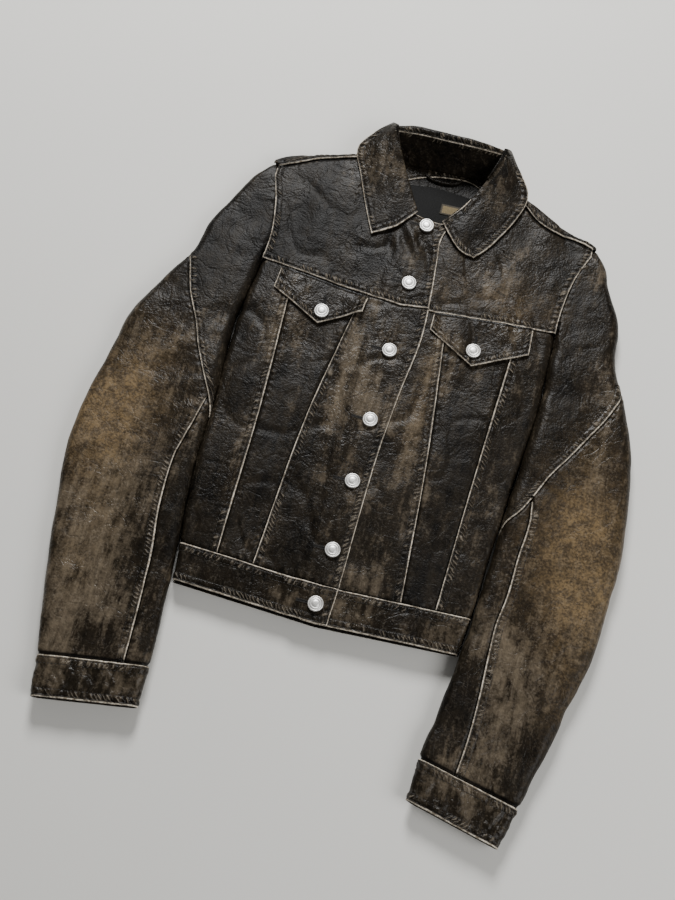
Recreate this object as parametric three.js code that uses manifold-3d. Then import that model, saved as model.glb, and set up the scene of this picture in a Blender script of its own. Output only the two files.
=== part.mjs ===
// A trucker-cut leather jacket, buttoned and lying on its back with its sleeves beside it.
// Millimetres. +X is the wearer's left, +Y runs from the hem to the collar, +Z is up.
// The origin is on the button line, on the plane that the back rests on.
import * as THREE from "three";
import { mergeVertices } from "three/addons/utils/BufferGeometryUtils.js";
import Module from "manifold-3d";

const wasm = await Module();
wasm.setup();

// ---- Driving dimensions
const LEATHER = 2.0; // thickness of one leather panel
const LINING = 0.8; // thickness of the lining cloth
const GAP = 0.3; // clearance between pieces that touch
const SLEEVE_SEAM_GAP = 0.9; // the seam across a sleeve twists, so it has a little more
const LINING_EASE = 1.8; // extra clearance round the sleeve linings, which have coarser facets
const ARMHOLE_GAP = 0.7; // clearance between the body and a sleeve
const CHEST_HEIGHT = 20; // top of the front panels
const SIDE_ROLL = 8; // radius of the fold along the side and the shoulder
const OVERLAP_RAMP = 14; // width over which the right front climbs onto the left one
const OVERLAP_LEAD = 5; // how far before the left front's end it has climbed

const CHEST_HALF = 178; // button line to the side, under the arm
const HEM_Y = -197; // lower edge of the waistband at the button line
const WAISTBAND = 41; // height of the waistband
const YOKE_Y = 183; // yoke seam at the button line
const BACK_YOKE_Y = 205;
const NECK_Y = 300; // front of the neckline at the button line
const UNDERLAP = 15; // how far the left front runs past the button line

const SLEEVE_LENGTH = 609; // shoulder tip to cuff
const CUFF_DEPTH = 43;
const SLEEVE_SHARES = [0, 0.06, 0.14, 0.225, 0.35, 0.48, 0.62, 0.75, 0.875, 1]; // stations along it
const SLEEVE_WIDTHS = [16, 44, 73, 82, 113, 134, 145, 142, 130, 117]; // flat width at each station
const SLEEVE_TOPS = [20, 20, 20.5, 22, 23.5, 24, 24, 24, 23, 22];
const SLEEVE_FLOORS = [0, 0, 0, 0, 0, 0, 0, 0, 2, 6.5];
const CUFF_WIDTH = 110;

const BUTTON_RADIUS = 8.5;
const BUTTON_HEAD = 3.4; // thickness of the head
const SHANK_RADIUS = 3;
const TACK_RADIUS = 4.5;
const TACK_THICKNESS = 1.3;
const SHANK_CLEARANCE = 0.3;
const EYELET_CLEARANCE = 0.7;
const BUTTONHOLE_SLIT = 13; // length past the eyelet
const SLIT_WIDTH = 1.8;
const FRONT_BUTTONS = [
  [4.5, 290.6], [2.3, 212.2], [1, 124.4], [0.8, 37.6], [-0.1, -36.5], [-1, -116.5], [-3.3, -177],
];
const FLAP_BUTTONS = { right: [-85.5, 152], left: [92.5, 147] };
const BUTTON_SIDES = 14; // facets of each button, and of the holes it passes through
const PATCH_RADIUS = 9.2; // soft ring of the flap's buttonhole

const LEATHER_COLOUR = 0x2f2823;
const DARK_LEATHER = 0x231e1b;
const LINING_COLOUR = 0x1c1c1e;
const PEWTER = 0xb9b7b0;

// The body and the sleeves lie a little differently on each side, so each side has its own lines.
const SIDES = {
  right: {
    sign: -1,
    shoulderY: 326,
    inset: [-9, 1, 8, 6, 0, 3, 6, 14, 21, 25, 27], // sleeve stations, in from the chest line
    widthShare: 1,
    cuffTilt: 17,
    hemRise: 9,
    yokeRise: 21,
    shoulder: [[-197, 335], [-184, 344], [-156, 355], [-127, 363], [-85, 371]],
    neckline: [[-85, 371], [-75, 350], [-55, 328], [-30, 311], [-7, 302], [32, 299]],
    princess: { inner: [-80, -70, -46], outer: [-119, -121, -129] },
    flap: [[-145, 198], [-147, 169], [-87, 137], [-50, 158], [-40, 163], [-38, 185.5]],
    pocket: [[-149, 194], [-149, 92], [-127, 78], [-106, 67], [-81, 60], [-68, 70], [-56, 184]],
    leaf: {
      roll: [[-9, 309, 25.2], [-31, 349, 29.2], [-44, 376, 37], [-57, 405, 44.5]],
      edge: [[-56, 265, 23], [-87, 336, 23], [-101, 373, 24], [-94, 386, 28]],
    },
  },
  left: {
    sign: 1,
    shoulderY: 308,
    inset: [-21, -8, -1, 0, 0, 6, 14, 19, 29, 40, 44],
    widthShare: 0.91,
    cuffTilt: 23,
    hemRise: 7,
    yokeRise: 11,
    shoulder: [[207, 316], [194, 321], [175, 327], [155, 337], [135, 349], [98, 368]],
    neckline: [[98, 368], [94, 350], [75, 325], [50, 310], [20, 301], [-16, 299]],
    princess: { inner: [83, 72, 54], outer: [119, 127, 137] },
    flap: [[153, 193], [154, 158], [94, 129], [39, 161], [39, 185]],
    pocket: [[152, 190], [150, 86], [128, 71], [108, 60], [86, 55], [72, 66], [62, 185]],
    leaf: {
      roll: [[20, 307, 25.2], [42, 343, 29], [57, 372, 36.5], [71, 405, 44.5]],
      edge: [[67, 270, 23], [98, 316, 23], [112, 361, 24], [105, 383, 28]],
    },
  },
};
const OVERLAP_EDGE = [[HEM_Y, 14], [-156, 16], [-88, 17], [14, 20], [74, 25], [143, 33], [201, 31],
  [251, 27], [274, 25], [299, 30]];

// ---- Small helpers
const jacket = new THREE.Group();

function material(colour, roughness, metalness = 0) {
  return new THREE.MeshStandardMaterial({ color: colour, roughness, metalness });
}

function add(name, geometry, finish) {
  const mesh = new THREE.Mesh(geometry, finish);
  mesh.name = name;
  jacket.add(mesh);
  return mesh;
}

// Straight-line value at x in a list of [x, value] pairs that run either way.
function along(pairs, x) {
  const rising = pairs[0][0] < pairs[pairs.length - 1][0] ? pairs : [...pairs].reverse();
  let i = 0;
  while (i < rising.length - 2 && x > rising[i + 1][0]) i += 1;
  const [x0, v0] = rising[i];
  const [x1, v1] = rising[i + 1];
  return v0 + ((v1 - v0) * (x - x0)) / (x1 - x0);
}

function listAt(values, position) {
  const i = Math.min(Math.max(Math.floor(position), 0), values.length - 2);
  return THREE.MathUtils.lerp(values[i], values[i + 1], position - i);
}

// A leather sheet: a box whose corners are moved to place(u, v, depth). depth is 0 on the outside.
function sheet(columns, rows, thickness, place) {
  const box = new THREE.BoxGeometry(1, 1, 1, columns, rows, 1);
  box.deleteAttribute("normal");
  box.deleteAttribute("uv");
  const geometry = mergeVertices(box, 1e-6);
  const position = geometry.attributes.position;
  for (let i = 0; i < position.count; i += 1) {
    const depth = (0.5 - position.getZ(i)) * thickness;
    const point = place(position.getX(i) + 0.5, position.getY(i) + 0.5, depth);
    position.setXYZ(i, point.x, point.y, point.z);
  }
  return faceOut(geometry);
}

// A warp can turn a box inside out, so the winding follows the sign of its volume.
function faceOut(geometry) {
  const position = geometry.attributes.position;
  const index = geometry.index.array;
  const corners = [new THREE.Vector3(), new THREE.Vector3(), new THREE.Vector3()];
  let volume = 0;
  for (let i = 0; i < index.length; i += 3) {
    corners.forEach((corner, k) => corner.fromBufferAttribute(position, index[i + k]));
    volume += corners[0].dot(corners[1].clone().cross(corners[2]));
  }
  if (volume < 0) {
    for (let i = 0; i < index.length; i += 3) {
      [index[i + 1], index[i + 2]] = [index[i + 2], index[i + 1]];
    }
  }
  geometry.computeVertexNormals();
  return geometry;
}

// A flat plate from an outline, between two heights.
function plate(outline, low, thickness) {
  const shape = new THREE.Shape(outline.map(([x, y]) => new THREE.Vector2(x, y)));
  const geometry = new THREE.ExtrudeGeometry(shape, { depth: thickness, bevelEnabled: false });
  return geometry.translate(0, 0, low);
}

function solid(geometry) {
  const bare = geometry.clone();
  bare.deleteAttribute("normal");
  bare.deleteAttribute("uv");
  const merged = mergeVertices(bare, 1e-5);
  return new wasm.Manifold(new wasm.Mesh({
    numProp: 3,
    vertProperties: new Float32Array(merged.attributes.position.array),
    triVerts: new Uint32Array(merged.index.array),
  }));
}

function cut(geometry, tools) {
  let result = solid(geometry);
  for (const tool of tools) {
    result = result.subtract(solid(tool));
  }
  const mesh = result.getMesh();
  const carved = new THREE.BufferGeometry();
  carved.setAttribute("position", new THREE.BufferAttribute(new Float32Array(mesh.vertProperties), 3));
  carved.setIndex(new THREE.BufferAttribute(new Uint32Array(mesh.triVerts), 1));
  carved.computeVertexNormals();
  return carved;
}

function drill(x, y, radius, sides = BUTTON_SIDES) {
  const tool = new THREE.CylinderGeometry(radius, radius, 4 * CHEST_HEIGHT, sides);
  return tool.rotateX(Math.PI / 2).translate(x, y, 0);
}

// A tailor's keyhole: an eyelet with a slit that leads away from it towards -X.
function keyhole(x, y) {
  const slit = new THREE.BoxGeometry(BUTTONHOLE_SLIT, SLIT_WIDTH, 4 * CHEST_HEIGHT);
  const eyelet = SHANK_RADIUS + EYELET_CLEARANCE;
  return [drill(x, y, eyelet), slit.translate(x - eyelet - BUTTONHOLE_SLIT / 2 + 1, y, 0)];
}

// ---- Heights of the layers
const OVERLAP_RISE = LEATHER + GAP;
const FLAP_LOW = CHEST_HEIGHT + GAP;
const HEAD_LOW = CHEST_HEIGHT + OVERLAP_RISE + GAP;
const TACK_LOW = CHEST_HEIGHT - LEATHER - GAP - TACK_THICKNESS;
const POCKET_LOW = TACK_LOW - GAP - 1.6;
const FRONT_LINING_LOW = POCKET_LOW - GAP - LINING;
const BACK_LINING_LOW = LEATHER + GAP;

// ---- Sleeves: an oval section that runs along two edge curves
function sleeveCurves(side) {
  const last = SLEEVE_SHARES.length - 1;
  const inner = [];
  const outer = [];
  for (let i = 0; i <= last + 1; i += 1) {
    const share = i > last ? 1 : SLEEVE_SHARES[i];
    const extra = i > last ? CUFF_DEPTH : 0;
    const width = (i > last ? CUFF_WIDTH : SLEEVE_WIDTHS[i]) * side.widthShare;
    const x = side.sign * (CHEST_HALF - side.inset[i]);
    const y = side.shoulderY - SLEEVE_LENGTH * share - extra;
    inner.push(new THREE.Vector2(x, y));
    outer.push(new THREE.Vector2(x + side.sign * width, y - side.cuffTilt * share ** 3));
  }
  return { inner: new THREE.SplineCurve(inner), outer: new THREE.SplineCurve(outer), stations: last + 1 };
}

const CUFF_STATION = SLEEVE_SHARES.length - 1;
const SEAM_START = 3; // station where the diagonal seam leaves the outer edge
const SEAM_END = 5; // station where it reaches the narrow inner panel
const SLEEVE_ROWS = [0, 0.5, 1, 1.5, 2, 2.5, 3, 3.1, 3.25, 3.5, 4, 4.5, 5, 5.5, 6, 6.5, 7, 7.5, 8, 8.5, 9];
const BACK_ROWS = [0, 0.5, 1, 1.5, 2, 2.5, 3, 4, 5, 6, 7, 8, 9];

function sleeveSection(side, station) {
  const share = station / side.curves.stations;
  const inner = side.curves.inner.getPoint(share);
  const outer = side.curves.outer.getPoint(share);
  const width = inner.distanceTo(outer);
  const top = listAt([...SLEEVE_TOPS, SLEEVE_TOPS[CUFF_STATION]], station);
  const floor = listAt([...SLEEVE_FLOORS, SLEEVE_FLOORS[CUFF_STATION]], station);
  const middle = (top + floor) / 2;
  const outerRadius = Math.min((top - floor) / 2, width / 2.2);
  // The inner edge is open along the armhole and closes below it.
  const closed = THREE.MathUtils.smoothstep(station, 2.2, 3);
  return { inner, outer, width, top, floor, middle, outerRadius, innerRadius: outerRadius * closed, closed };
}

// A point of the sleeve's shell. across runs from the inner edge (0) to the outer edge (1).
// face is 1 for the front half and -1 for the back half.
function sleevePoint(side, station, across, depth, face, nudge = 0) {
  const section = sleeveSection(side, station);
  const { width, outerRadius, innerRadius, closed } = section;
  const innerArc = (innerRadius * Math.PI) / 2;
  const outerArc = (outerRadius * Math.PI) / 2;
  const flat = width - innerRadius - outerRadius;
  const run = THREE.MathUtils.clamp(across, 0, 1) * (innerArc + flat + outerArc) + nudge;
  const edge = face > 0 ? section.top : section.floor;
  const half = Math.abs(edge - section.middle) - GAP / 2;
  let plan = innerRadius + run - innerArc;
  let height = half;
  let lean = 0;
  let rise = 1;
  if (run < innerArc) {
    const turn = run / innerRadius;
    plan = innerRadius * (1 - Math.cos(turn));
    height = half * (1 - closed) + half * closed * Math.sin(turn);
    lean = -Math.cos(turn);
    rise = Math.sin(turn);
  } else if (run > innerArc + flat) {
    const turn = (run - innerArc - flat) / outerRadius;
    plan = width - outerRadius + outerRadius * Math.sin(turn);
    height = half * Math.cos(turn);
    lean = Math.sin(turn);
    rise = Math.cos(turn);
  }
  const x = plan - depth * lean;
  const z = section.middle + face * (GAP / 2 + height - depth * rise);
  const direction = section.outer.clone().sub(section.inner).divideScalar(width);
  return new THREE.Vector3(section.inner.x + direction.x * x, section.inner.y + direction.y * x, z);
}

// Where the seam across the front of the sleeve lies, as a share of the way from the inner edge.
function sleeveSeam(station) {
  if (station < SEAM_START) return 1;
  if (station >= SEAM_END) return THREE.MathUtils.mapLinear(station, SEAM_END, CUFF_STATION, 0.11, 0.24);
  const t = (station - SEAM_START) / (SEAM_END - SEAM_START);
  return 0.11 + 0.85 * (1 - t) ** 1.5;
}

// spread bunches a sheet's columns where it bends. Its rows are shared with the sheets it is sewn to.
function sleeveSheet(side, { from, to, columns, low, high, spread, face = 1, rows: every = SLEEVE_ROWS }) {
  const stations = every.filter((station) => station >= from && station <= to);
  const rows = stations.length - 1;
  const trim = (GAP / SLEEVE_LENGTH) * CUFF_STATION;
  return sheet(columns, rows, LEATHER, (u, v, depth) => {
    const row = stations[Math.round(v * rows)];
    let station = row;
    if (row === from && from > 0) station += trim;
    if (row === to) station -= trim;
    const a = low(row);
    const b = high(row);
    let nudge = 0;
    if (u === 0 && a > 0) nudge = SLEEVE_SEAM_GAP / 2;
    if (u === 1 && b < 1) nudge = -SLEEVE_SEAM_GAP / 2;
    return sleevePoint(side, station, THREE.MathUtils.lerp(a, b, spread(u)), depth, face, nudge);
  });
}

// The whole way round a section, for the cuff and the lining: 0 to 1 starts and ends underneath.
function aroundSleeve(side, station, turn, depth, inset) {
  const section = sleeveSection(side, station);
  const half = (section.top - section.floor) / 2 - inset;
  const radius = Math.min(half, section.width / 2.2);
  const flat = section.width - 2 * inset - 2 * radius;
  const arc = Math.PI * radius;
  const start = flat * 0.25;
  let run = turn * 2 * (flat + arc);
  let plan = 0;
  let height = 0;
  let lean = 0;
  let rise = 0;
  if (run <= start) {
    [plan, height, rise] = [section.width - inset - radius - start + run, -half, -1];
  } else if (run <= start + arc) {
    const angle = (run - start) / radius;
    plan = section.width - inset - radius + radius * Math.sin(angle);
    [height, lean, rise] = [-half * Math.cos(angle), Math.sin(angle), -Math.cos(angle)];
  } else if (run <= start + arc + flat) {
    [plan, height, rise] = [section.width - inset - radius - (run - start - arc), half, 1];
  } else if (run <= start + 2 * arc + flat) {
    const angle = (run - start - arc - flat) / radius;
    plan = inset + radius - radius * Math.sin(angle);
    [height, lean, rise] = [half * Math.cos(angle), -Math.sin(angle), Math.cos(angle)];
  } else {
    run -= start + 2 * arc + flat;
    [plan, height, rise] = [inset + radius + run, -half, -1];
  }
  const x = plan - depth * lean;
  const z = section.middle + height - depth * rise;
  const direction = section.outer.clone().sub(section.inner).divideScalar(section.width);
  return new THREE.Vector3(section.inner.x + direction.x * x, section.inner.y + direction.y * x, z);
}

function ring(side, from, to, columns, rows, thickness, inset) {
  const perimeter = 2 * SLEEVE_WIDTHS[CUFF_STATION];
  const opening = (GAP + 0.2) / perimeter;
  return sheet(columns, rows, thickness, (u, v, depth) => {
    const station = THREE.MathUtils.lerp(from, to, v);
    return aroundSleeve(side, station, THREE.MathUtils.lerp(opening, 1 - opening, u), depth, inset);
  });
}

function buildSleeve(name, side) {
  const leather = () => material(LEATHER_COLOUR, 0.5);
  const zero = () => 0;
  const one = () => 1;
  const bothEdges = (u) => (1 - Math.cos(Math.PI * u)) / 2;
  const innerEdge = (u) => u ** 1.5;
  const outerEdge = (u) => 1 - (1 - u) ** 1.6;
  add(`${name}_upper_sleeve`, sleeveSheet(side, {
    from: 0, to: SEAM_END, columns: 8, low: zero, high: sleeveSeam, spread: bothEdges,
  }), leather());
  add(`${name}_outer_sleeve`, sleeveSheet(side, {
    from: SEAM_START, to: CUFF_STATION, columns: 7, low: sleeveSeam, high: one, spread: outerEdge,
  }), leather());
  add(`${name}_inner_sleeve`, sleeveSheet(side, {
    from: SEAM_END, to: CUFF_STATION, columns: 4, low: zero, high: sleeveSeam, spread: innerEdge,
  }), leather());
  add(`${name}_sleeve_back`, sleeveSheet(side, {
    from: 0, to: CUFF_STATION, columns: 8, low: zero, high: one, spread: bothEdges, face: -1, rows: BACK_ROWS,
  }), leather());
  const lining = ring(side, 3, CUFF_STATION - 0.02, 20, 6, LINING, LEATHER + GAP + LINING_EASE);
  add(`${name}_sleeve_lining`, lining, material(LINING_COLOUR, 0.6));

  const trim = (GAP / CUFF_DEPTH) * 1.5;
  const cuff = ring(side, CUFF_STATION + trim, CUFF_STATION + 1, 24, 1, LEATHER, 0);
  const [x, y] = side.cuffButton;
  add(`${name}_cuff`, cut(cuff, [drill(x, y, SHANK_RADIUS + SHANK_CLEARANCE)]), material(DARK_LEATHER, 0.4));
  const floor = SLEEVE_FLOORS[CUFF_STATION];
  const button = tackButton(LEATHER).rotateX(Math.PI).translate(x, y, floor + LEATHER);
  add(`${name}_cuff_button`, button, material(PEWTER, 0.35, 0.9));
}

// ---- Buttons: a tack under the leather, a shank through it and a domed head, turned in one piece.
// Its zero is the face that the tack bears on, less the gap, and the head is up.
function tackButton(stack) {
  const low = -GAP - TACK_THICKNESS;
  const head = stack + GAP;
  const profile = [
    [0, low], [TACK_RADIUS, low], [TACK_RADIUS, -GAP], [SHANK_RADIUS, -GAP], [SHANK_RADIUS, head],
    [BUTTON_RADIUS, head], [BUTTON_RADIUS, head + BUTTON_HEAD - 1], [BUTTON_RADIUS - 1, head + BUTTON_HEAD],
    [0, head + BUTTON_HEAD],
  ];
  const lathe = new THREE.LatheGeometry(profile.map(([x, y]) => new THREE.Vector2(x, y)), BUTTON_SIDES);
  return lathe.rotateX(Math.PI / 2);
}

function buildFrontButtons() {
  FRONT_BUTTONS.forEach(([x, y], i) => {
    const button = tackButton(2 * LEATHER + GAP).translate(x, y, CHEST_HEIGHT - LEATHER);
    add(`front_button_${i + 1}`, button, material(PEWTER, 0.35, 0.9));
  });
}

// ---- Body: every panel lies between two side lines and two cross seams
function crossSeam(centreY) {
  return (rises) => (x) => centreY + (x < 0 ? SIDES.right : SIDES.left)[rises] * Math.abs(x) / CHEST_HALF;
}
const hemLine = crossSeam(HEM_Y)("hemRise");
const waistLine = crossSeam(HEM_Y + WAISTBAND)("hemRise");
const yokeLine = crossSeam(YOKE_Y)("yokeRise");
const backYokeLine = () => BACK_YOKE_Y;

// The side of the body follows the inner edge of the sleeve that lies against it.
function bodyEdge(side) {
  const points = [];
  for (let station = 0; station <= side.curves.stations; station += 0.5) {
    const point = side.curves.inner.getPoint(station / side.curves.stations);
    points.push([point.y, point.x - side.sign * ARMHOLE_GAP]);
  }
  return (y) => along(points, y);
}

const WALL = CHEST_HEIGHT - SIDE_ROLL - LEATHER - GAP;
const ROLL_EXTRA = (SIDE_ROLL * Math.PI) / 2 + WALL - SIDE_ROLL; // cloth that the fold and wall take up

// Turns a distance from a folded edge, measured on the flat sheet, into a place on the fold.
function foldAt(distance) {
  const past = SIDE_ROLL - distance;
  if (past <= 0) return { plan: distance, drop: 0, out: 0, up: 1 };
  const turn = Math.min(past / SIDE_ROLL, Math.PI / 2);
  const wall = Math.max(past - (SIDE_ROLL * Math.PI) / 2, 0);
  return {
    plan: SIDE_ROLL * (1 - Math.sin(turn)),
    drop: SIDE_ROLL * (1 - Math.cos(turn)) + wall,
    out: Math.sin(turn),
    up: Math.cos(turn),
  };
}

function overlapRise(x) {
  const full = -UNDERLAP - OVERLAP_LEAD;
  return OVERLAP_RISE * THREE.MathUtils.smoothstep(x, full - OVERLAP_RAMP, full);
}

function frontPoint(side, x, y, depth, { fold = "none", rise = false } = {}) {
  const lift = rise ? overlapRise(x) : 0;
  if (fold === "side") {
    const edge = side.edge(y);
    const bend = foldAt(side.sign * (edge - x));
    const inward = bend.plan + depth * bend.out;
    return new THREE.Vector3(edge - side.sign * inward, y, CHEST_HEIGHT - bend.drop - depth * bend.up);
  }
  if (fold === "shoulder") {
    const edge = along(side.shoulder, x);
    const bend = foldAt(edge - y);
    const back = bend.plan + depth * bend.out;
    return new THREE.Vector3(x, edge - back, CHEST_HEIGHT + lift - bend.drop - depth * bend.up);
  }
  return new THREE.Vector3(x, y, CHEST_HEIGHT + lift - depth);
}

// A panel of the front. left and right give x for a share of the height, bottom and top give y for x.
// folded says which edge of the flat sheet goes round the side: "low" is the -X one.
function panel({ columns, rows, left, right, bottom, top, place, fold = "none", thickness = LEATHER }) {
  return sheet(columns, rows, thickness, (u, v, depth) => {
    const from = left(v) + (fold === "low" ? 0 : GAP / 2);
    const to = right(v) - (fold === "high" ? 0 : GAP / 2);
    const x = THREE.MathUtils.lerp(from, to, u);
    const y = THREE.MathUtils.lerp(bottom(x) + GAP / 2, top(x) - GAP / 2, v);
    return place(x, y, depth);
  });
}

// x of a seam that passes through evenly spaced values between two cross seams.
function seam(values) {
  const curve = new THREE.SplineCurve(values.map((x, i) => new THREE.Vector2(i, x)));
  return (v) => curve.getPoint(v).y;
}

// x of the body's side at a share of the way between two cross seams.
function sideSeam(side, bottom, top, extra = 0) {
  return (v) => {
    let x = side.sign * CHEST_HALF;
    for (let pass = 0; pass < 3; pass += 1) {
      x = side.edge(THREE.MathUtils.lerp(bottom(x), top(x), v));
    }
    return x + side.sign * extra;
  };
}

function ordered(side, inner, outer) {
  return side.sign < 0 ? { left: outer, right: inner } : { left: inner, right: outer };
}

function overlapEdge(bottom, top) {
  return (v) => along(OVERLAP_EDGE, THREE.MathUtils.lerp(bottom(0), top(0), v));
}

function buildFront(name, side) {
  const leather = () => material(LEATHER_COLOUR, 0.5);
  const right = side.sign < 0;
  const place = (options) => (x, y, depth) => frontPoint(side, x, y, depth, options);
  const level = { bottom: waistLine, top: yokeLine };
  const outerFold = right ? "low" : "high";
  const inner = seam(side.princess.inner);
  const outer = seam(side.princess.outer);
  const underlap = () => -UNDERLAP;
  const rise = right;

  const frontEdge = right ? overlapEdge(waistLine, yokeLine) : underlap;
  const centre = panel({
    columns: 9, rows: 8, ...level, ...ordered(side, frontEdge, inner), place: place({ rise }),
  });
  const holes = FRONT_BUTTONS.slice(2, 6).flatMap(([x, y]) => holeFor(right, x, y));
  add(`${name}_front_centre_panel`, cut(centre, holes), leather());

  const [flapX, flapY] = FLAP_BUTTONS[name];
  const pocket = panel({ columns: 2, rows: 8, ...level, ...ordered(side, inner, outer), place: place() });
  const shankHole = drill(flapX, flapY, SHANK_RADIUS + SHANK_CLEARANCE);
  add(`${name}_front_pocket_panel`, cut(pocket, [shankHole]), material(DARK_LEATHER, 0.5));

  const edge = sideSeam(side, waistLine, yokeLine, ROLL_EXTRA);
  add(`${name}_front_side_panel`, panel({
    columns: 9, rows: 8, ...level, ...ordered(side, outer, edge), place: place({ fold: "side" }),
    fold: outerFold,
  }), leather());

  const shoulderTop = (x) => (Math.abs(x) < Math.abs(side.neckline[0][0])
    ? along(side.neckline, x) : along(side.shoulder, x) + ROLL_EXTRA);
  const armhole = sideSeam(side, yokeLine, (x) => along(side.shoulder, x));
  const yokeEdge = right ? overlapEdge(yokeLine, () => NECK_Y) : underlap;
  const yoke = panel({
    columns: 16, rows: 8, bottom: yokeLine, top: shoulderTop, ...ordered(side, yokeEdge, armhole),
    place: place({ fold: "shoulder", rise }),
  });
  const yokeHoles = FRONT_BUTTONS.slice(0, 2).flatMap(([x, y]) => holeFor(right, x, y));
  add(`${name}_front_yoke`, cut(yoke, yokeHoles), leather());

  const bandEdge = sideSeam(side, hemLine, waistLine, ROLL_EXTRA);
  const bandEnd = right ? overlapEdge(hemLine, waistLine) : underlap;
  const band = panel({
    columns: 18, rows: 1, bottom: hemLine, top: waistLine, ...ordered(side, bandEnd, bandEdge),
    place: (x, y, depth) => {
      const folds = side.sign * x > CHEST_HALF / 2;
      return frontPoint(side, x, y, depth, folds ? { fold: "side" } : { rise });
    },
    fold: outerFold,
  });
  const bandHoles = FRONT_BUTTONS.slice(6).flatMap(([x, y]) => holeFor(right, x, y));
  add(`${name}_front_waistband`, cut(band, bandHoles), material(DARK_LEATHER, 0.45));

  add(`${name}_pocket_bag`, plate(side.pocket, POCKET_LOW, 1.6), material(LINING_COLOUR, 0.7));

  const liningInner = right ? () => -UNDERLAP - 2 * TACK_RADIUS : () => 3 * TACK_RADIUS;
  add(`${name}_front_lining`, panel({
    columns: 4, rows: 6, bottom: (x) => hemLine(x) + 12, top: (x) => yokeLine(x) + 100, thickness: LINING,
    ...ordered(side, liningInner, sideSeam(side, hemLine, yokeLine, -SIDE_ROLL - LEATHER)),
    place: (x, y, depth) => new THREE.Vector3(x, y, FRONT_LINING_LOW + LINING - depth),
  }), material(LINING_COLOUR, 0.6));
}

function holeFor(right, x, y) {
  return right ? keyhole(x, y) : [drill(x, y, SHANK_RADIUS + SHANK_CLEARANCE)];
}

// A chest pocket's flap hangs from the yoke seam. Its buttonhole stretches over the head when it opens,
// so the flap has a round window and the stretching leather is a ring of its own.
function buildFlap(name, side) {
  const [x, y] = FLAP_BUTTONS[name];
  const window = PATCH_RADIUS + GAP;
  const outline = plate(side.flap, FLAP_LOW, LEATHER);
  add(`${name}_pocket_flap`, cut(outline, [drill(x, y, window)]), material(LEATHER_COLOUR, 0.45));

  const eyelet = SHANK_RADIUS + EYELET_CLEARANCE;
  const profile = [[eyelet, 0], [PATCH_RADIUS, 0], [PATCH_RADIUS, LEATHER], [eyelet, LEATHER], [eyelet, 0]];
  const patch = new THREE.LatheGeometry(profile.map(([r, z]) => new THREE.Vector2(r, z)), BUTTON_SIDES);
  patch.rotateX(Math.PI / 2).translate(x, y, FLAP_LOW);
  add(`${name}_flap_buttonhole`, patch, material(LEATHER_COLOUR, 0.5));

  const button = tackButton(2 * LEATHER + GAP).translate(x, y, CHEST_HEIGHT - LEATHER);
  add(`${name}_flap_button`, button, material(PEWTER, 0.35, 0.9));
}

function buildBack() {
  const flat = (x, y, depth) => new THREE.Vector3(x, y, LEATHER - depth);
  const { right, left } = SIDES;
  const leather = () => material(LEATHER_COLOUR, 0.5);
  const level = { bottom: waistLine, top: backYokeLine, place: flat };
  const backRight = seam([-72, -82, -92]);
  const backLeft = seam([72, 82, 92]);
  add("back_centre_panel", panel({ columns: 2, rows: 8, ...level, left: backRight, right: backLeft }), leather());
  add("right_back_side_panel", panel({
    columns: 1, rows: 8, ...level, left: sideSeam(right, waistLine, backYokeLine), right: backRight,
  }), leather());
  add("left_back_side_panel", panel({
    columns: 1, rows: 8, ...level, left: backLeft, right: sideSeam(left, waistLine, backYokeLine),
  }), leather());
  add("back_waistband", panel({
    columns: 2, rows: 1, bottom: hemLine, top: waistLine, place: flat,
    left: sideSeam(right, hemLine, waistLine), right: sideSeam(left, hemLine, waistLine),
  }), material(DARK_LEATHER, 0.45));
  const shoulders = [...right.shoulder, [-45, 387], [5, 392], [55, 387], ...[...left.shoulder].reverse()];
  const armholeTop = (x) => along(shoulders, x);
  add("back_yoke", panel({
    columns: 10, rows: 6, bottom: backYokeLine, top: armholeTop, place: flat,
    left: sideSeam(right, backYokeLine, armholeTop), right: sideSeam(left, backYokeLine, armholeTop),
  }), leather());

  add("back_lining", panel({
    columns: 6, rows: 5, bottom: (x) => hemLine(x) + 12, top: (x) => armholeTop(x) - 36, thickness: LINING,
    left: sideSeam(right, hemLine, backYokeLine, -LEATHER - SIDE_ROLL),
    right: sideSeam(left, hemLine, backYokeLine, -LEATHER - SIDE_ROLL),
    place: (x, y, depth) => new THREE.Vector3(x, y, BACK_LINING_LOW + LINING - depth),
  }), material(LINING_COLOUR, 0.6));
}

// ---- Collar: strips of leather ruled between two curves
function strip(first, second, columns, rows, thickness) {
  const near = new THREE.CatmullRomCurve3(first.map((p) => new THREE.Vector3(...p)), false, "centripetal");
  const far = new THREE.CatmullRomCurve3(second.map((p) => new THREE.Vector3(...p)), false, "centripetal");
  const at = (u, v) => near.getPoint(u).lerp(far.getPoint(u), v);
  return sheet(columns, rows, thickness, (u, v, depth) => {
    const step = 0.01;
    const alongU = at(Math.min(u + step, 1), v).sub(at(Math.max(u - step, 0), v));
    const alongV = far.getPoint(u).sub(near.getPoint(u));
    const normal = alongU.cross(alongV).normalize();
    return at(u, v).addScaledVector(normal, -depth);
  });
}

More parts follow.
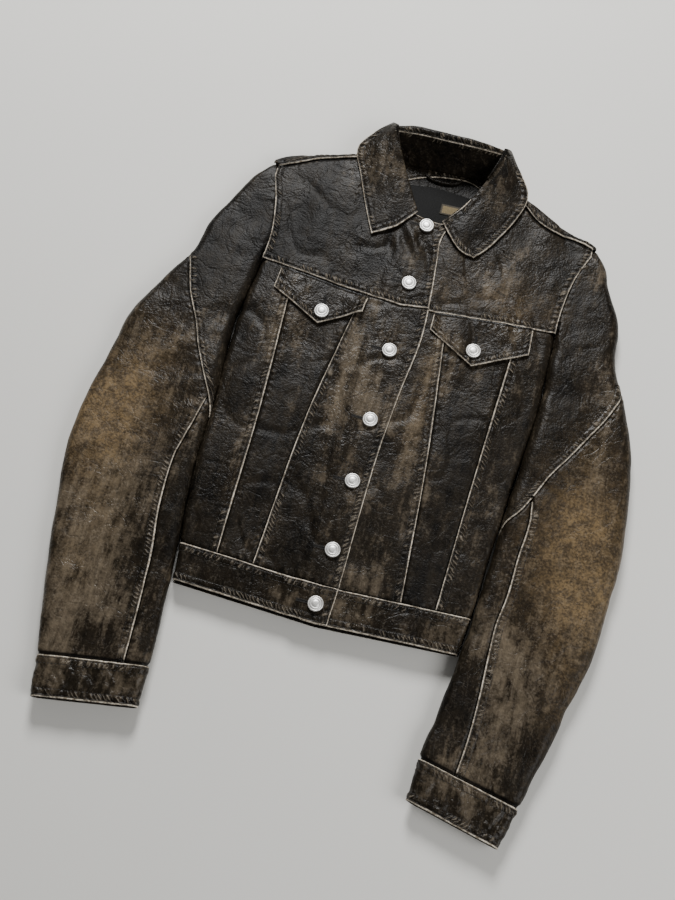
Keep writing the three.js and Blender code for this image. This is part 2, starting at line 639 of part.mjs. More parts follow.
function buildCollar() {
  const { right, left } = SIDES;
  const leather = () => material(LEATHER_COLOUR, 0.5);
  add("right_collar_point", strip(right.leaf.edge, right.leaf.roll, 9, 4, LEATHER), leather());
  add("left_collar_point", strip(left.leaf.roll, left.leaf.edge, 9, 4, LEATHER), leather());

  const back = {
    roll: [[-59, 408.5, 44.9], [-34, 411.5, 46.9], [6, 409.4, 47.4], [45, 409.8, 46.9], [72.5, 408.5, 44.9]],
    edge: [[-96.5, 391, 28], [-68, 428, 17], [6, 424, 13], [77, 426, 17], [107.5, 388, 28]],
  };
  add("back_collar", strip(back.roll, back.edge, 16, 4, LEATHER), leather());

  const stand = {
    foot: [[-27, 315, 21.5], [-54, 333, 21.5], [-80, 362, 20.8], [-62, 386.5, 7], [6, 390.5, 3],
      [62, 386.5, 7], [90, 357, 20.8], [73, 330, 21.5], [48, 315, 21.5]],
    roll: [[-12, 312, 22.6], [-34, 350, 26.6], [-55, 389, 37.5], [-40, 405, 43.4], [6, 405.6, 44.6],
      [53, 405, 43.4], [68, 389, 37.5], [45, 343, 26.6], [23, 310, 22.6]],
  };
  add("collar_stand", strip(stand.foot, stand.roll, 28, 2, 1.2), material(DARK_LEATHER, 0.5));

  const facing = [[-44, 352], [-22, 364], [13, 372], [48, 370], [62, 360], [56, 378], [6, 383], [-44, 378]];
  add("neck_facing", plate(facing, BACK_LINING_LOW + GAP, 1.2), material(DARK_LEATHER, 0.5));

  const loop = new THREE.CatmullRomCurve3([
    new THREE.Vector3(-16, 373, HANGER_Z), new THREE.Vector3(-8, 366, HANGER_Z),
    new THREE.Vector3(7, 364, HANGER_Z), new THREE.Vector3(22, 366, HANGER_Z),
    new THREE.Vector3(30, 373, HANGER_Z),
  ]);
  const section = new THREE.Shape([
    new THREE.Vector2(-0.6, -2.2), new THREE.Vector2(0.6, -2.2), new THREE.Vector2(0.6, 2.2),
    new THREE.Vector2(-0.6, 2.2),
  ]);
  const strap = new THREE.ExtrudeGeometry(section, { steps: 14, extrudePath: loop, bevelEnabled: false });
  add("hanger_loop", strap, material(DARK_LEATHER, 0.5));

  const label = [[14, 322], [38, 322], [38, 336], [14, 336]];
  add("neck_label", plate(label, BACK_LINING_LOW + LINING + GAP, 0.6), material(0x8a7748, 0.6));
}
const HANGER_Z = BACK_LINING_LOW + GAP + 1.2 + GAP + 0.6;

// ---- Assembly
for (const [name, side] of Object.entries(SIDES)) {
  side.curves = sleeveCurves(side);
  side.edge = bodyEdge(side);
  const middle = sleeveSection(side, CUFF_STATION + 0.55);
  const centre = middle.inner.clone().lerp(middle.outer, 0.66);
  side.cuffButton = [centre.x, centre.y];
  buildFront(name, side);
  buildFlap(name, side);
  buildSleeve(name, side);
}
buildBack();
buildCollar();
buildFrontButtons();

export default jacket;
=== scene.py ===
"""Leather panels, stitching, buttons and finishes of a jacket that lies flat, made round its frame.

The pattern is in millimetres, as a maker marks it, and becomes metres when a mesh is made.
+X is the wearer's left, +Y runs from the hem to the collar and +Z is up.
"""
import math

import bpy
import numpy as np
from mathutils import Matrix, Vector


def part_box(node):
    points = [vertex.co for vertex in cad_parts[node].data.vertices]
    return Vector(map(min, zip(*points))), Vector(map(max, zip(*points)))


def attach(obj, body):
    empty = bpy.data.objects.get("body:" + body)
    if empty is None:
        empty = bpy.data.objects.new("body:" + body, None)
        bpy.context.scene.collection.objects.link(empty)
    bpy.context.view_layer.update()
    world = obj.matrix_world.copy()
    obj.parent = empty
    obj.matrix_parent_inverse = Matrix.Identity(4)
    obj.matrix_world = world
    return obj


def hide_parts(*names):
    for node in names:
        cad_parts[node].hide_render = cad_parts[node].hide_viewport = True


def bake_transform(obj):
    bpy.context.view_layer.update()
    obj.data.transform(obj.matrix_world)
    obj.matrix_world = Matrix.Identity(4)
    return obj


bl_info = {
    "name": "Leather Jacket",
    "version": (1, 0, 0),
    "blender": (4, 5, 0),
    "location": "3D View > Sidebar > Jacket",
    "description": "Leather panels, stitching, buttons and finishes of a jacket that lies flat",
    "category": "Object",
}

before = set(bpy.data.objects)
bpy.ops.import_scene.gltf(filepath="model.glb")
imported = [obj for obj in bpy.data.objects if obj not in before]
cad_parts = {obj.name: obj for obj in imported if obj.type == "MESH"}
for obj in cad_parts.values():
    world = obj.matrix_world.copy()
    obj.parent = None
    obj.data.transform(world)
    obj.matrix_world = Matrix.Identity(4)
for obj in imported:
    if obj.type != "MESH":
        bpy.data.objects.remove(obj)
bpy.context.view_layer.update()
MM = 0.001


def top_of(node):
    """Height in mm of the highest point of a node of the frame."""
    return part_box(node)[1][2] / MM


# ---- The pattern, in millimetres
CHEST_TOP = top_of("left_front_centre_panel")
CHEST_HALF = 178
FOLD_RADIUS = 8
FOLD_EXTRA = FOLD_RADIUS * math.pi / 2 + 2
LEATHER = 2.0
LINING = 0.8
OVERLAP_RISE = 2.3
UNDERLAP = 15
HEM_Y, WAISTBAND, YOKE_Y, BACK_YOKE_Y, NECK_Y = -197, 41, 183, 205, 300
TUCK_REACH = 1.6  # how far a panel runs in under the one that laps it

SLEEVE_LENGTH, CUFF_DEPTH, CUFF_WIDTH = 609, 43, 110
SHARES = [0, 0.06, 0.14, 0.225, 0.35, 0.48, 0.62, 0.75, 0.875, 1]
WIDTHS = [16, 44, 73, 82, 113, 134, 145, 142, 130, 117]
TOPS = [20, 20, 20.5, 22, 23.5, 24, 24, 24, 23, 22, 22]
FLOORS = [0, 0, 0, 0, 0, 0, 0, 0, 2, 6.5, 6.5]
CUFF_STATION = len(SHARES) - 1
STATIONS = len(SHARES)

FRONT_BUTTONS = [(4.5, 290.6), (2.3, 212.2), (1, 124.4), (0.8, 37.6), (-0.1, -36.5), (-1, -116.5),
                 (-3.3, -177)]
FLAP_BUTTONS = {"right": (-85.5, 152), "left": (92.5, 147)}
OVERLAP_EDGE = [(-197, 14), (-156, 16), (-88, 17), (14, 20), (74, 25), (143, 33), (201, 31), (251, 27),
                (274, 25), (299, 30)]

PATTERN = {
    "right": {
        "sign": -1, "shoulder_y": 326, "width_share": 1, "cuff_tilt": 17, "hem_rise": 9, "yoke_rise": 21,
        "inset": [-9, 1, 8, 6, 0, 3, 6, 14, 21, 25, 27],
        "shoulder": [(-197, 335), (-184, 344), (-156, 355), (-127, 363), (-85, 371)],
        "neckline": [(-85, 371), (-75, 350), (-55, 328), (-30, 311), (-7, 302), (32, 299)],
        "princess_inner": [-80, -70, -46], "princess_outer": [-119, -121, -129],
        "flap_bottom": [(-147, 169), (-87, 137), (-50, 158), (-38, 163)],
        "flap_top": [(-145, 198), (-38, 185.5)], "flap_ends": [(-147, -145), (-40, -38)],
        "pocket": [(-149, 194), (-149, 92), (-127, 78), (-106, 67), (-81, 60), (-68, 70), (-56, 184)],
        "diagonal": [(2.9, 1.0), (3.26, 0.8), (3.59, 0.63), (4.06, 0.4), (4.52, 0.27), (4.87, 0.17),
                     (5.16, 0.085), (5.45, 0.005)],
        "lower": [(5.16, 0.085), (5.66, 0.14), (6.04, 0.19), (6.43, 0.21), (6.85, 0.22), (7.4, 0.21),
                  (8, 0.22), (9, 0.23)],
        "lower_start": 5.16,
        "leaf_roll": [(-9, 306, 25.2), (-31, 346, 29.2), (-46, 374, 36), (-58, 403, 42.5)],
        "leaf_edge": [(-56, 264, 23), (-71, 297, 23), (-87, 336, 23.5), (-100, 371, 25), (-86, 396, 26),
                      (-67, 418, 24)],
        "leaf_front": [(-9, 306, 25.2), (-27, 283, 24.5), (-42, 272, 23.6), (-56, 264, 23)],
    },
    "left": {
        "sign": 1, "shoulder_y": 308, "width_share": 0.91, "cuff_tilt": 23, "hem_rise": 7, "yoke_rise": 11,
        "inset": [-21, -8, -1, 0, 0, 6, 14, 19, 29, 40, 44],
        "shoulder": [(98, 368), (135, 349), (155, 337), (175, 327), (194, 321), (207, 316)],
        "neckline": [(-16, 299), (20, 301), (50, 310), (75, 325), (94, 350), (98, 368)],
        "princess_inner": [83, 72, 54], "princess_outer": [119, 127, 137],
        "flap_bottom": [(39, 161), (94, 129), (154, 158)],
        "flap_top": [(39, 185), (153, 193)], "flap_ends": [(39, 39), (154, 153)],
        "pocket": [(152, 190), (150, 86), (128, 71), (108, 60), (86, 55), (72, 66), (62, 185)],
        "diagonal": [(3.2, 1.0), (3.5, 0.91), (3.81, 0.75), (4.16, 0.58), (4.54, 0.43), (4.92, 0.29),
                     (5.24, 0.21), (5.51, 0.13), (5.65, 0.065), (5.8, 0.005)],
        "lower": [(5.24, 0.205), (5.6, 0.235), (6, 0.23), (6.6, 0.23), (7, 0.215), (7.4, 0.24), (8, 0.3),
                  (8.55, 0.35), (9, 0.37)],
        "lower_start": 5.24,
        "leaf_roll": [(20, 301, 25.2), (39, 323, 27), (54, 351, 30.5), (64, 377, 37), (73, 403, 42.5)],
        "leaf_edge": [(67, 263, 23), (83, 283, 23), (104, 324, 23.5), (112, 357, 25), (99, 387, 26),
                      (80, 416, 24)],
        "leaf_front": [(20, 301, 25.2), (38, 278, 24.5), (51, 267, 23.6), (67, 263, 23)],
    },
}


# ---- Curves and soft noise
def lerp(a, b, t):
    return a + (b - a) * t


def ease(x, low, high):
    """0 below low and 1 above high, turning smoothly in between."""
    t = np.clip((np.asarray(x, float) - low) / (high - low), 0, 1)
    return t * t * (3 - 2 * t)


def bell(x, width):
    return np.exp(-(np.asarray(x, float) / width) ** 2)


def spline(points, share):
    """Points of a smooth curve through evenly spaced points, at shares of its length from 0 to 1."""
    points = np.asarray(points, float)
    last = len(points) - 1
    place = np.clip(share, 0, 1) * last
    i = np.clip(np.floor(place).astype(int), 0, last - 1)
    w = np.expand_dims(place - i, -1)
    p0, p1, p2, p3 = (points[np.clip(i + k, 0, last)] for k in (-1, 0, 1, 2))
    v0, v1 = (p2 - p0) / 2, (p3 - p1) / 2
    return (2 * p1 - 2 * p2 + v0 + v1) * w ** 3 + (3 * p2 - 3 * p1 - 2 * v0 - v1) * w ** 2 + v0 * w + p1


def through(pairs):
    """A smooth value(x) through (x, value) pairs, which goes on straight past their ends."""
    xs, ys = np.array(sorted(pairs), float).T
    slope = np.gradient(ys, xs) if len(xs) > 2 else np.full(2, (ys[1] - ys[0]) / (xs[1] - xs[0]))

    def value(x):
        x = np.asarray(x, float)
        i = np.clip(np.searchsorted(xs, x) - 1, 0, len(xs) - 2)
        h = xs[i + 1] - xs[i]
        raw = (x - xs[i]) / h
        t = np.clip(raw, 0, 1)
        a, b, m, n = ys[i], ys[i + 1], slope[i] * h, slope[i + 1] * h
        inside = ((2 * t ** 3 - 3 * t ** 2 + 1) * a + (t ** 3 - 2 * t ** 2 + t) * m
                  + (3 * t ** 2 - 2 * t ** 3) * b + (t ** 3 - t ** 2) * n)
        return inside + (raw - t) * np.where(raw < 0, m, n)
    return value


def straight(pairs):
    """value(x) on straight lines between (x, value) pairs."""
    xs, ys = np.array(sorted(pairs), float).T
    return lambda x: np.interp(x, xs, ys)


def evenly(values):
    """value(share) through values that are evenly spaced from 0 to 1."""
    points = [(i / (len(values) - 1), v) for i, v in enumerate(values)]
    return through(points)


class Noise:
    """Soft noise over a plane from about -1 to 1, the same on every run."""
    SIZE = 4096

    def __init__(self, seed):
        source = np.random.RandomState(seed)
        self.order = source.permutation(self.SIZE)
        self.level = source.uniform(-1, 1, self.SIZE)

    def __call__(self, x, y=0.0):
        x, y = np.broadcast_arrays(np.asarray(x, float), np.asarray(y, float))
        i, j = np.floor(x).astype(int), np.floor(y).astype(int)
        a, b = x - i, y - j
        a, b = a * a * (3 - 2 * a), b * b * (3 - 2 * b)

        def corner(di, dj):
            return self.level[self.order[(self.order[(i + di) % self.SIZE] + j + dj) % self.SIZE]]
        low = lerp(corner(0, 0), corner(1, 0), a)
        high = lerp(corner(0, 1), corner(1, 1), a)
        return lerp(low, high, b)


BROAD, MIDDLE, SMALL, LADDER, SWELL = (Noise(seed) for seed in (11, 23, 37, 41, 59))


# ---- Where the cloth lies
class Side:
    """One half of the jacket: its cross seams, its outline and the oval shell of its sleeve."""

    def __init__(self, name):
        self.name = name
        for key, value in PATTERN[name].items():
            setattr(self, key, value)
        self.inner, self.outer = [], []
        for i, inset in enumerate(self.inset):
            share = SHARES[min(i, CUFF_STATION)]
            cuff = i > CUFF_STATION
            width = (CUFF_WIDTH if cuff else WIDTHS[i]) * self.width_share
            x = self.sign * (CHEST_HALF - inset)
            y = self.shoulder_y - SLEEVE_LENGTH * share - (CUFF_DEPTH if cuff else 0)
            self.inner.append((x, y))
            self.outer.append((x + self.sign * width, y - self.cuff_tilt * share ** 3))
        stations = np.linspace(0, STATIONS, 61)
        edge = spline(self.inner, stations / STATIONS)
        order = np.argsort(edge[:, 1])
        self.edge_y, self.edge_x = edge[order, 1], edge[order, 0]
        self.shoulder_line = through(self.shoulder)
        self.neck_line = through(self.neckline)
        self.diagonal_seam = through(self.diagonal)
        self.lower_seam = through(self.lower)

    def edge(self, y):
        """x of the body's side at height y, where the sleeve begins."""
        return np.interp(y, self.edge_y, self.edge_x)

    def hem(self, x):
        return HEM_Y + self.hem_rise * np.abs(x) / CHEST_HALF

    def waist(self, x):
        return HEM_Y + WAISTBAND + self.hem_rise * np.abs(x) / CHEST_HALF

    def yoke(self, x):
        return YOKE_Y + self.yoke_rise * np.abs(x) / CHEST_HALF

    def section(self, station):
        inner = spline(self.inner, station / STATIONS)
        outer = spline(self.outer, station / STATIONS)
        along = np.linalg.norm(outer - inner, axis=-1)
        levels = np.arange(len(TOPS))
        top, floor = np.interp(station, levels, TOPS), np.interp(station, levels, FLOORS)
        closing = np.clip(1 - station / 0.6, 0, 1)
        inner = inner + np.stack([0 * closing, 8 * closing], -1)
        share = np.sqrt(np.maximum(1 - closing ** 2, 0.0004))
        middle, half = (top + floor) / 2, (top - floor) / 2 * share
        direction = (outer - inner) / along[..., None]
        return inner, direction, along * (1 - 0.5 * closing ** 2), middle + half, middle - half

    def shell(self, station, across, face=1, nudge=0.0):
        """A point of the sleeve's skin, from the inner edge (0) to the outer one (1), front or back."""
        inner, direction, width, top, floor = self.section(station)
        half, middle = (top - floor) / 2, (top + floor) / 2
        outer_radius = np.minimum(half, width / 2.2)
        closed = ease(station, 2.2, 3)
        inner_radius = np.maximum(outer_radius * closed, 1e-6)
        inner_arc, outer_arc = inner_radius * math.pi / 2, outer_radius * math.pi / 2
        flat = width - inner_radius - outer_radius
        run = np.clip(across, 0, 1) * (inner_arc + flat + outer_arc) + nudge
        near, far = run < inner_arc, run > inner_arc + flat
        turn_in = np.clip(run / inner_radius, 0, math.pi / 2)
        turn_out = np.clip((run - inner_arc - flat) / outer_radius, 0, math.pi / 2)
        plan = inner_radius + run - inner_arc
        plan = np.where(near & (closed > 0.01), inner_radius * (1 - np.cos(turn_in)), plan)
        plan = np.where(far, width - outer_radius + outer_radius * np.sin(turn_out), plan)
        height = np.where(near, half * (1 - closed) + half * closed * np.sin(turn_in), half)
        height = np.where(far, half * np.cos(turn_out), height)
        xy = inner + direction * plan[..., None]
        return np.concatenate([xy, (middle + face * height)[..., None]], axis=-1)

    def tube(self, station, turn, inset):
        """A point of the whole way round the sleeve: 0 and 1 meet in the middle of the underside."""
        inner, direction, width, top, floor = self.section(station)
        half, middle = (top - floor) / 2 - inset, (top + floor) / 2
        radius = np.minimum(half, width / 2.2)
        flat = width - 2 * inset - 2 * radius
        arc = math.pi * radius
        run = (turn % 1.0) * 2 * (flat + arc)
        plan, height = np.zeros_like(run), np.zeros_like(run)
        limits = [(flat / 2, 0), (flat / 2 + arc, 1), (1.5 * flat + arc, 2), (1.5 * flat + 2 * arc, 3),
                  (1e9, 4)]
        start = np.zeros_like(run)
        done = np.zeros(run.shape, bool)
        for limit, stage in limits:
            here = ~done & (run <= limit)
            s = run - start
            if stage == 0:
                p, h = inset + radius + flat / 2 + s, -half + 0 * s
            elif stage == 1:
                angle = s / radius
                p, h = width - inset - radius + radius * np.sin(angle), -half * np.cos(angle)
            elif stage == 2:
                p, h = width - inset - radius - s, half + 0 * s
            elif stage == 3:
                angle = s / radius
                p, h = inset + radius - radius * np.sin(angle), half * np.cos(angle)
            else:
                p, h = inset + radius + s, -half + 0 * s
            plan, height = np.where(here, p, plan), np.where(here, h, height)
            done |= here
            start = limit + np.zeros_like(run)
        xy = inner + direction * plan[..., None]
        return np.concatenate([xy, (middle + height)[..., None]], axis=-1)

    def front(self, x, y, fold=None, rise=False):
        """A point of the front, which folds over the side or over the shoulder."""
        z = CHEST_TOP + (OVERLAP_RISE * ease(x, -34, -20) if rise else 0 * x)
        if fold == "side":
            edge = self.edge(y) - self.sign * 0.4
            plan, drop = fold_at(self.sign * (edge - x))
            return np.stack([edge - self.sign * plan, y, z - drop], -1)
        if fold == "shoulder":
            edge = self.shoulder_line(x)
            plan, drop = fold_at(edge - y)
            return np.stack([x, edge - plan, z - drop], -1)
        return np.stack([x, y + 0 * x, z], -1)


def fold_at(distance):
    """Turns a distance from a folded edge on the flat sheet into a place on the fold."""
    past = FOLD_RADIUS - distance
    turn = np.clip(past / FOLD_RADIUS, 0, math.pi / 2)
    wall = np.maximum(past - FOLD_RADIUS * math.pi / 2, 0)
    plan = np.where(past <= 0, distance, FOLD_RADIUS * (1 - np.sin(turn)))
    return plan, np.where(past <= 0, 0, FOLD_RADIUS * (1 - np.cos(turn)) + wall)


SIDES = {name: Side(name) for name in PATTERN}


def drape(x, y):
    """The lie of the leather in mm: broad hollows, creases, and a dip round each button."""
    rise = 1.8 * BROAD(x / 75, y / 95) + 1.3 * MIDDLE(x / 24, y / 52) + 0.32 * SMALL(x / 9, y / 15)
    crease = 1 - np.abs(SWELL((x + 0.35 * y) / 42, (y - 0.3 * x) / 75))
    rise = rise - 0.9 * np.clip(crease - 0.78, 0, 1) / 0.22
    twist = bell(x + 6, 26) * bell(y - 266, 20)
    rise = rise + twist * (1.9 * np.sin((x + 0.55 * y) / 3.6) + 1.2 * SMALL(x / 7, y / 20))
    for bx, by in FRONT_BUTTONS:
        far = np.hypot(x - bx, y - by)
        angle = np.arctan2(y - by, x - bx)
        rise = rise - 0.7 * bell(far, 13) + 0.3 * SMALL(angle * 4, by) * bell(far - 15, 8)
    return rise


# ---- Panels
class Sheet:
    """A grid of points on a panel's outside, with how far each lies from the panel's four sides."""
    CLOSE = (0, 0.35, 0.8, 1.3, 1.9, 2.7, 3.8, 5.2)

    def __init__(self, place, up, cell, wrap=False, toward=None):
        probe = np.linspace(0, 1, 25)
        sample = place(*np.meshgrid(probe, probe))
        width = np.linalg.norm(np.diff(sample, axis=1), axis=2).sum(1).max()
        height = np.linalg.norm(np.diff(sample, axis=0), axis=2).sum(0).max()
        columns = np.linspace(0, 1, int(width / cell) + 1) if wrap else self.spaced(width, cell)
        self.u, self.v = np.meshgrid(columns, self.spaced(height, cell))
        self.points = place(self.u, self.v)
        self.wrap = wrap
        self.measure()
        normal = self.normals()
        if wrap:
            inside = (normal * (self.points - self.points[:, :-1].mean(1, keepdims=True))).sum(-1)
        elif toward is not None:
            inside = (normal * (np.asarray(toward, float) - self.points)).sum(-1)
        else:
            inside = normal @ np.asarray(up, float)
        self.flip = inside.mean() < 0
        self.normal = -normal if self.flip else normal

    def spaced(self, length, cell):
        if length < 16:
            return np.linspace(0, 1, max(int(length / 0.8), 3))
        ends = np.array(self.CLOSE) / length
        middle = np.linspace(ends[-1], 1 - ends[-1], max(int((length - 10) / cell), 2))
        return np.concatenate([ends[:-1], middle, 1 - ends[-2::-1]])

    def measure(self):
        def run(axis):
            step = np.linalg.norm(np.diff(self.points, axis=axis), axis=2)
            pad = [(1, 0), (0, 0)] if axis == 0 else [(0, 0), (1, 0)]
            return np.pad(np.cumsum(step, axis=axis), pad)
        across, along = run(1), run(0)
        self.distance = {"low": across, "high": across[:, -1:] - across,
                         "start": along, "end": along[-1:] - along}
        self.run = {"low": along, "high": along, "start": across, "end": across}

    def normals(self):
        points = self.points
        if self.wrap:
            ring = np.concatenate([points[:, -2:-1], points, points[:, 1:2]], axis=1)
            du = ring[:, 2:] - ring[:, :-2]
        else:
            du = np.gradient(points, axis=1)
        dv = np.gradient(points, axis=0)
        normal = np.cross(du, dv)
        return normal / np.maximum(np.linalg.norm(normal, axis=-1, keepdims=True), 1e-9)

    def push(self, height):
        self.points = self.points + self.normal * height[..., None]

    def settle(self):
        """Works the normals out again, after the surface has its relief."""
        normal = self.normals()
        self.normal = -normal if self.flip else normal

    def inset_line(self, side, distance, first=0.0, last=1.0):
        """Points and normals of a line that keeps a distance from one side."""
        away = self.distance[side]
        if side in ("start", "end"):
            away, points, normal = away.T, self.points.transpose(1, 0, 2), self.normal.transpose(1, 0, 2)
        else:
            points, normal = self.points, self.normal
        line, out = [], []
        count = len(away)
        for i in range(int(first * (count - 1)), int(last * (count - 1)) + 1):
            row = away[i]
            if row.max() < distance:
                continue
            rows = slice(None) if row[0] < row[-1] else slice(None, None, -1)
            line.append([np.interp(distance, row[rows], points[i, rows, k]) for k in range(3)])
            out.append([np.interp(distance, row[rows], normal[i, rows, k]) for k in range(3)])
        return np.array(line), np.array(out)


def rolled(distance, radius):
    """How far a rounded edge drops at a distance from its end."""
    inside = np.clip(radius - distance, 0, radius)
    return radius - np.sqrt(radius ** 2 - inside ** 2)


def seam_relief(distance, run, kind, seed):
    """Height of the leather beside a seam, and the puckers' share of it."""
    shift = 37.3 * seed
    gather = 0.4 + 0.75 * ease(SWELL(run / 30 + shift, seed), -0.5, 0.5)
    wave = np.sin(2 * math.pi * (run / 8.2 + 0.9 * SMALL(run / 26 + shift, seed)) + distance / 5)
    ladder = (0.7 * wave + 0.6 * SMALL(run / 5.5, distance / 9 + shift)) * gather
    if kind == "tuck":
        puckers = 0.5 * ladder * ease(distance, 1.5, 3.5) * (1 - ease(distance, 4, 11))
        return -1.9 * (1 - ease(distance, 0.5, 5.5)) + puckers, puckers
    if kind == "fold":
        return -rolled(distance, 2.6), 0 * distance
    band = ease(distance, 1.0, 2.6) * (1 - ease(distance, 7.4, 10.5))
    puckers = 0.6 * ladder * band
    pillow = 0.4 * np.sin(math.pi * np.clip((distance - 2.4) / 6.2, 0, 1))
    groove = -0.4 * bell(distance - 2.4, 0.6) - 0.35 * bell(distance - 8.8, 0.8)
    lifted = 0.45 * (1 - ease(distance, 2, 14)) if kind == "lap" else 0
    return lifted + pillow + groove + puckers - rolled(distance, 1.15), puckers


def hot_spot(x, y, cx, cy, width, height, lean=0.0):
    """Rubbing that fades away from one place, in an oval that may lean."""
    dx, dy = x - cx, y - cy
    c, s = math.cos(lean), math.sin(lean)
    return np.exp(-(((c * dx + s * dy) / width) ** 2 + ((-s * dx + c * dy) / height) ** 2))


def rubbing(x, y):
    """Where the finish has rubbed through to tan: the elbows, with a little beside them."""
    spots = (hot_spot(x, y, -286, -30, 34, 58, -0.12) + 0.65 * hot_spot(x, y, -270, -5, 46, 78)
             + 0.3 * hot_spot(x, y, -262, -150, 30, 80) + 1.0 * hot_spot(x, y, 262, -62, 36, 82, 0.1)
             + 0.6 * hot_spot(x, y, 240, -50, 46, 90) + 0.3 * hot_spot(x, y, 262, -180, 24, 70)
             + 0.25 * hot_spot(x, y, 120, 215, 60, 30) + 0.25 * hot_spot(x, y, 50, 90, 12, 100))
    return np.clip(spots * (0.85 + 0.35 * MIDDLE(x / 24, y / 24)), 0, 1.1)


def fading_and_painted_light(x, y):
    """Where the leather is paler (above 0) and darker (below 0). Part of it is real fading and streaks; the
    rest is painted sheen on the forearms, elbows, cuffs and collar, and painted shade on the yokes, upper
    sleeves and sides.
    """
    spots = (
        (0.95, -255, -150, 46, 95, 0), (0.5, -215, -235, 50, 50, 0), (0.75, 208, -205, 36, 95, 0),
        (0.35, 246, 90, 22, 80, 0), (0.3, -232, 60, 32, 60, 0), (0.5, 262, -60, 45, 110, 0),
        (0.5, -282, -20, 45, 110, 0), (0.75, -40, 60, 12, 120, 0), (0.85, 50, 85, 11, 100, 0),
        (0.5, 72, 112, 8, 40, 0), (0.4, 125, 235, 55, 45, 0), (0.35, -75, 240, 45, 35, 0),
        (0.45, -12, 0, 22, 170, 0), (0.4, -128, 90, 9, 110, 0), (0.35, 132, 60, 8, 120, 0),
        (0.35, -82, 345, 18, 40, 0), (0.2, 80, 330, 18, 40, 0), (0.35, 0, -176, 150, 12, 0),
        (0.35, -100, 120, 14, 60, 0), (-0.4, -100, -60, 16, 120, 0), (-0.35, 100, -60, 16, 120, 0),
        (-0.45, -55, 225, 30, 40, 0), (-0.3, -240, 200, 45, 70, 0), (-0.35, -160, 60, 16, 150, 0),
        (-0.75, -125, 255, 60, 60, 0), (-0.35, -215, 200, 50, 90, 0), (-0.2, 140, 240, 60, 50, 0),
        (0.45, -245, -305, 60, 26, 0), (0.45, 195, -325, 60, 30, 0), (0.3, 235, 190, 26, 90, 0),
        (-0.35, 165, 60, 16, 150, 0), (-0.3, 60, 180, 50, 20, 0), (-0.3, 215, 170, 26, 90, 0),
    )
    total = sum(share * hot_spot(x, y, *place) for share, *place in spots)
    drift = 0.32 * BROAD(x / 42 + 9, y / 60) + 0.2 * MIDDLE(x / 15, y / 38)
    return np.clip(total + drift - 0.06, -0.7, 1.3)


def build_mesh(name, blocks):
    """One object from blocks of (points in mm, quads or triangles, {attribute: values})."""
    points = np.concatenate([b[0] for b in blocks]) * MM
    faces, start = [], 0
    for block in blocks:
        faces.extend((np.asarray(f) + start).tolist() for f in block[1])
        start += len(block[0])
    mesh = bpy.data.meshes.new(name)
    mesh.from_pydata(points.tolist(), [], [f for group in faces for f in group])
    names = {key for b in blocks for key in b[2]}
    for key in sorted(names):
        values = np.concatenate([np.asarray(b[2].get(key, np.zeros(len(b[0]))), float) for b in blocks])
        mesh.attributes.new(key, "FLOAT", "POINT").data.foreach_set("value", values.astype(np.float32))
    mesh.polygons.foreach_set("use_smooth", np.ones(len(mesh.polygons), bool))
    mesh.update()
    obj = bpy.data.objects.new(name, mesh)
    bpy.context.scene.collection.objects.link(obj)
    return obj


def sheet_block(sheet, thickness, marks):
    """The closed skin of a sheet: its outside, its inside and a rim between them."""
    rows, columns = sheet.u.shape
    if sheet.wrap:
        columns -= 1
    outside = sheet.points[:, :columns].reshape(-1, 3)
    inside = outside - sheet.normal[:, :columns].reshape(-1, 3) * thickness
    count = rows * columns
    index = np.arange(count).reshape(rows, columns)
    if sheet.wrap:
        index = np.concatenate([index, index[:, :1]], axis=1)
    a, b, c, d = index[:-1, :-1], index[:-1, 1:], index[1:, 1:], index[1:, :-1]
    quads = np.stack([a, b, c, d], -1).reshape(-1, 4)
    if sheet.flip:
        quads = quads[:, ::-1]
    hidden = quads[:, ::-1] + count
    sides = [index[0, :], index[-1, ::-1]]
    if not sheet.wrap:
        sides += [index[:, -1], index[::-1, 0]]
    rims = []
    for side in sides:
        p, q = side[:-1], side[1:]
        rim = np.stack([q, p, p + count, q + count], -1)
        rims.append(rim[:, ::-1] if sheet.flip else rim)
    values = {}
    for key, (value, under) in marks.items():
        flat = value[:, :columns].reshape(-1)
        values[key] = np.concatenate([flat, np.full(count, under)])
    return np.concatenate([outside, inside]), [quads, hidden, *rims], values


class Rows:
    """The stitch rows of one body, gathered before they are sewn."""

    def __init__(self):
        self.lines = {}

    def add(self, key, line):
        if len(line[0]) > 3:
            self.lines.setdefault(key, []).append(line)


ROWS = Rows()
SEEDS = iter(range(1, 400))


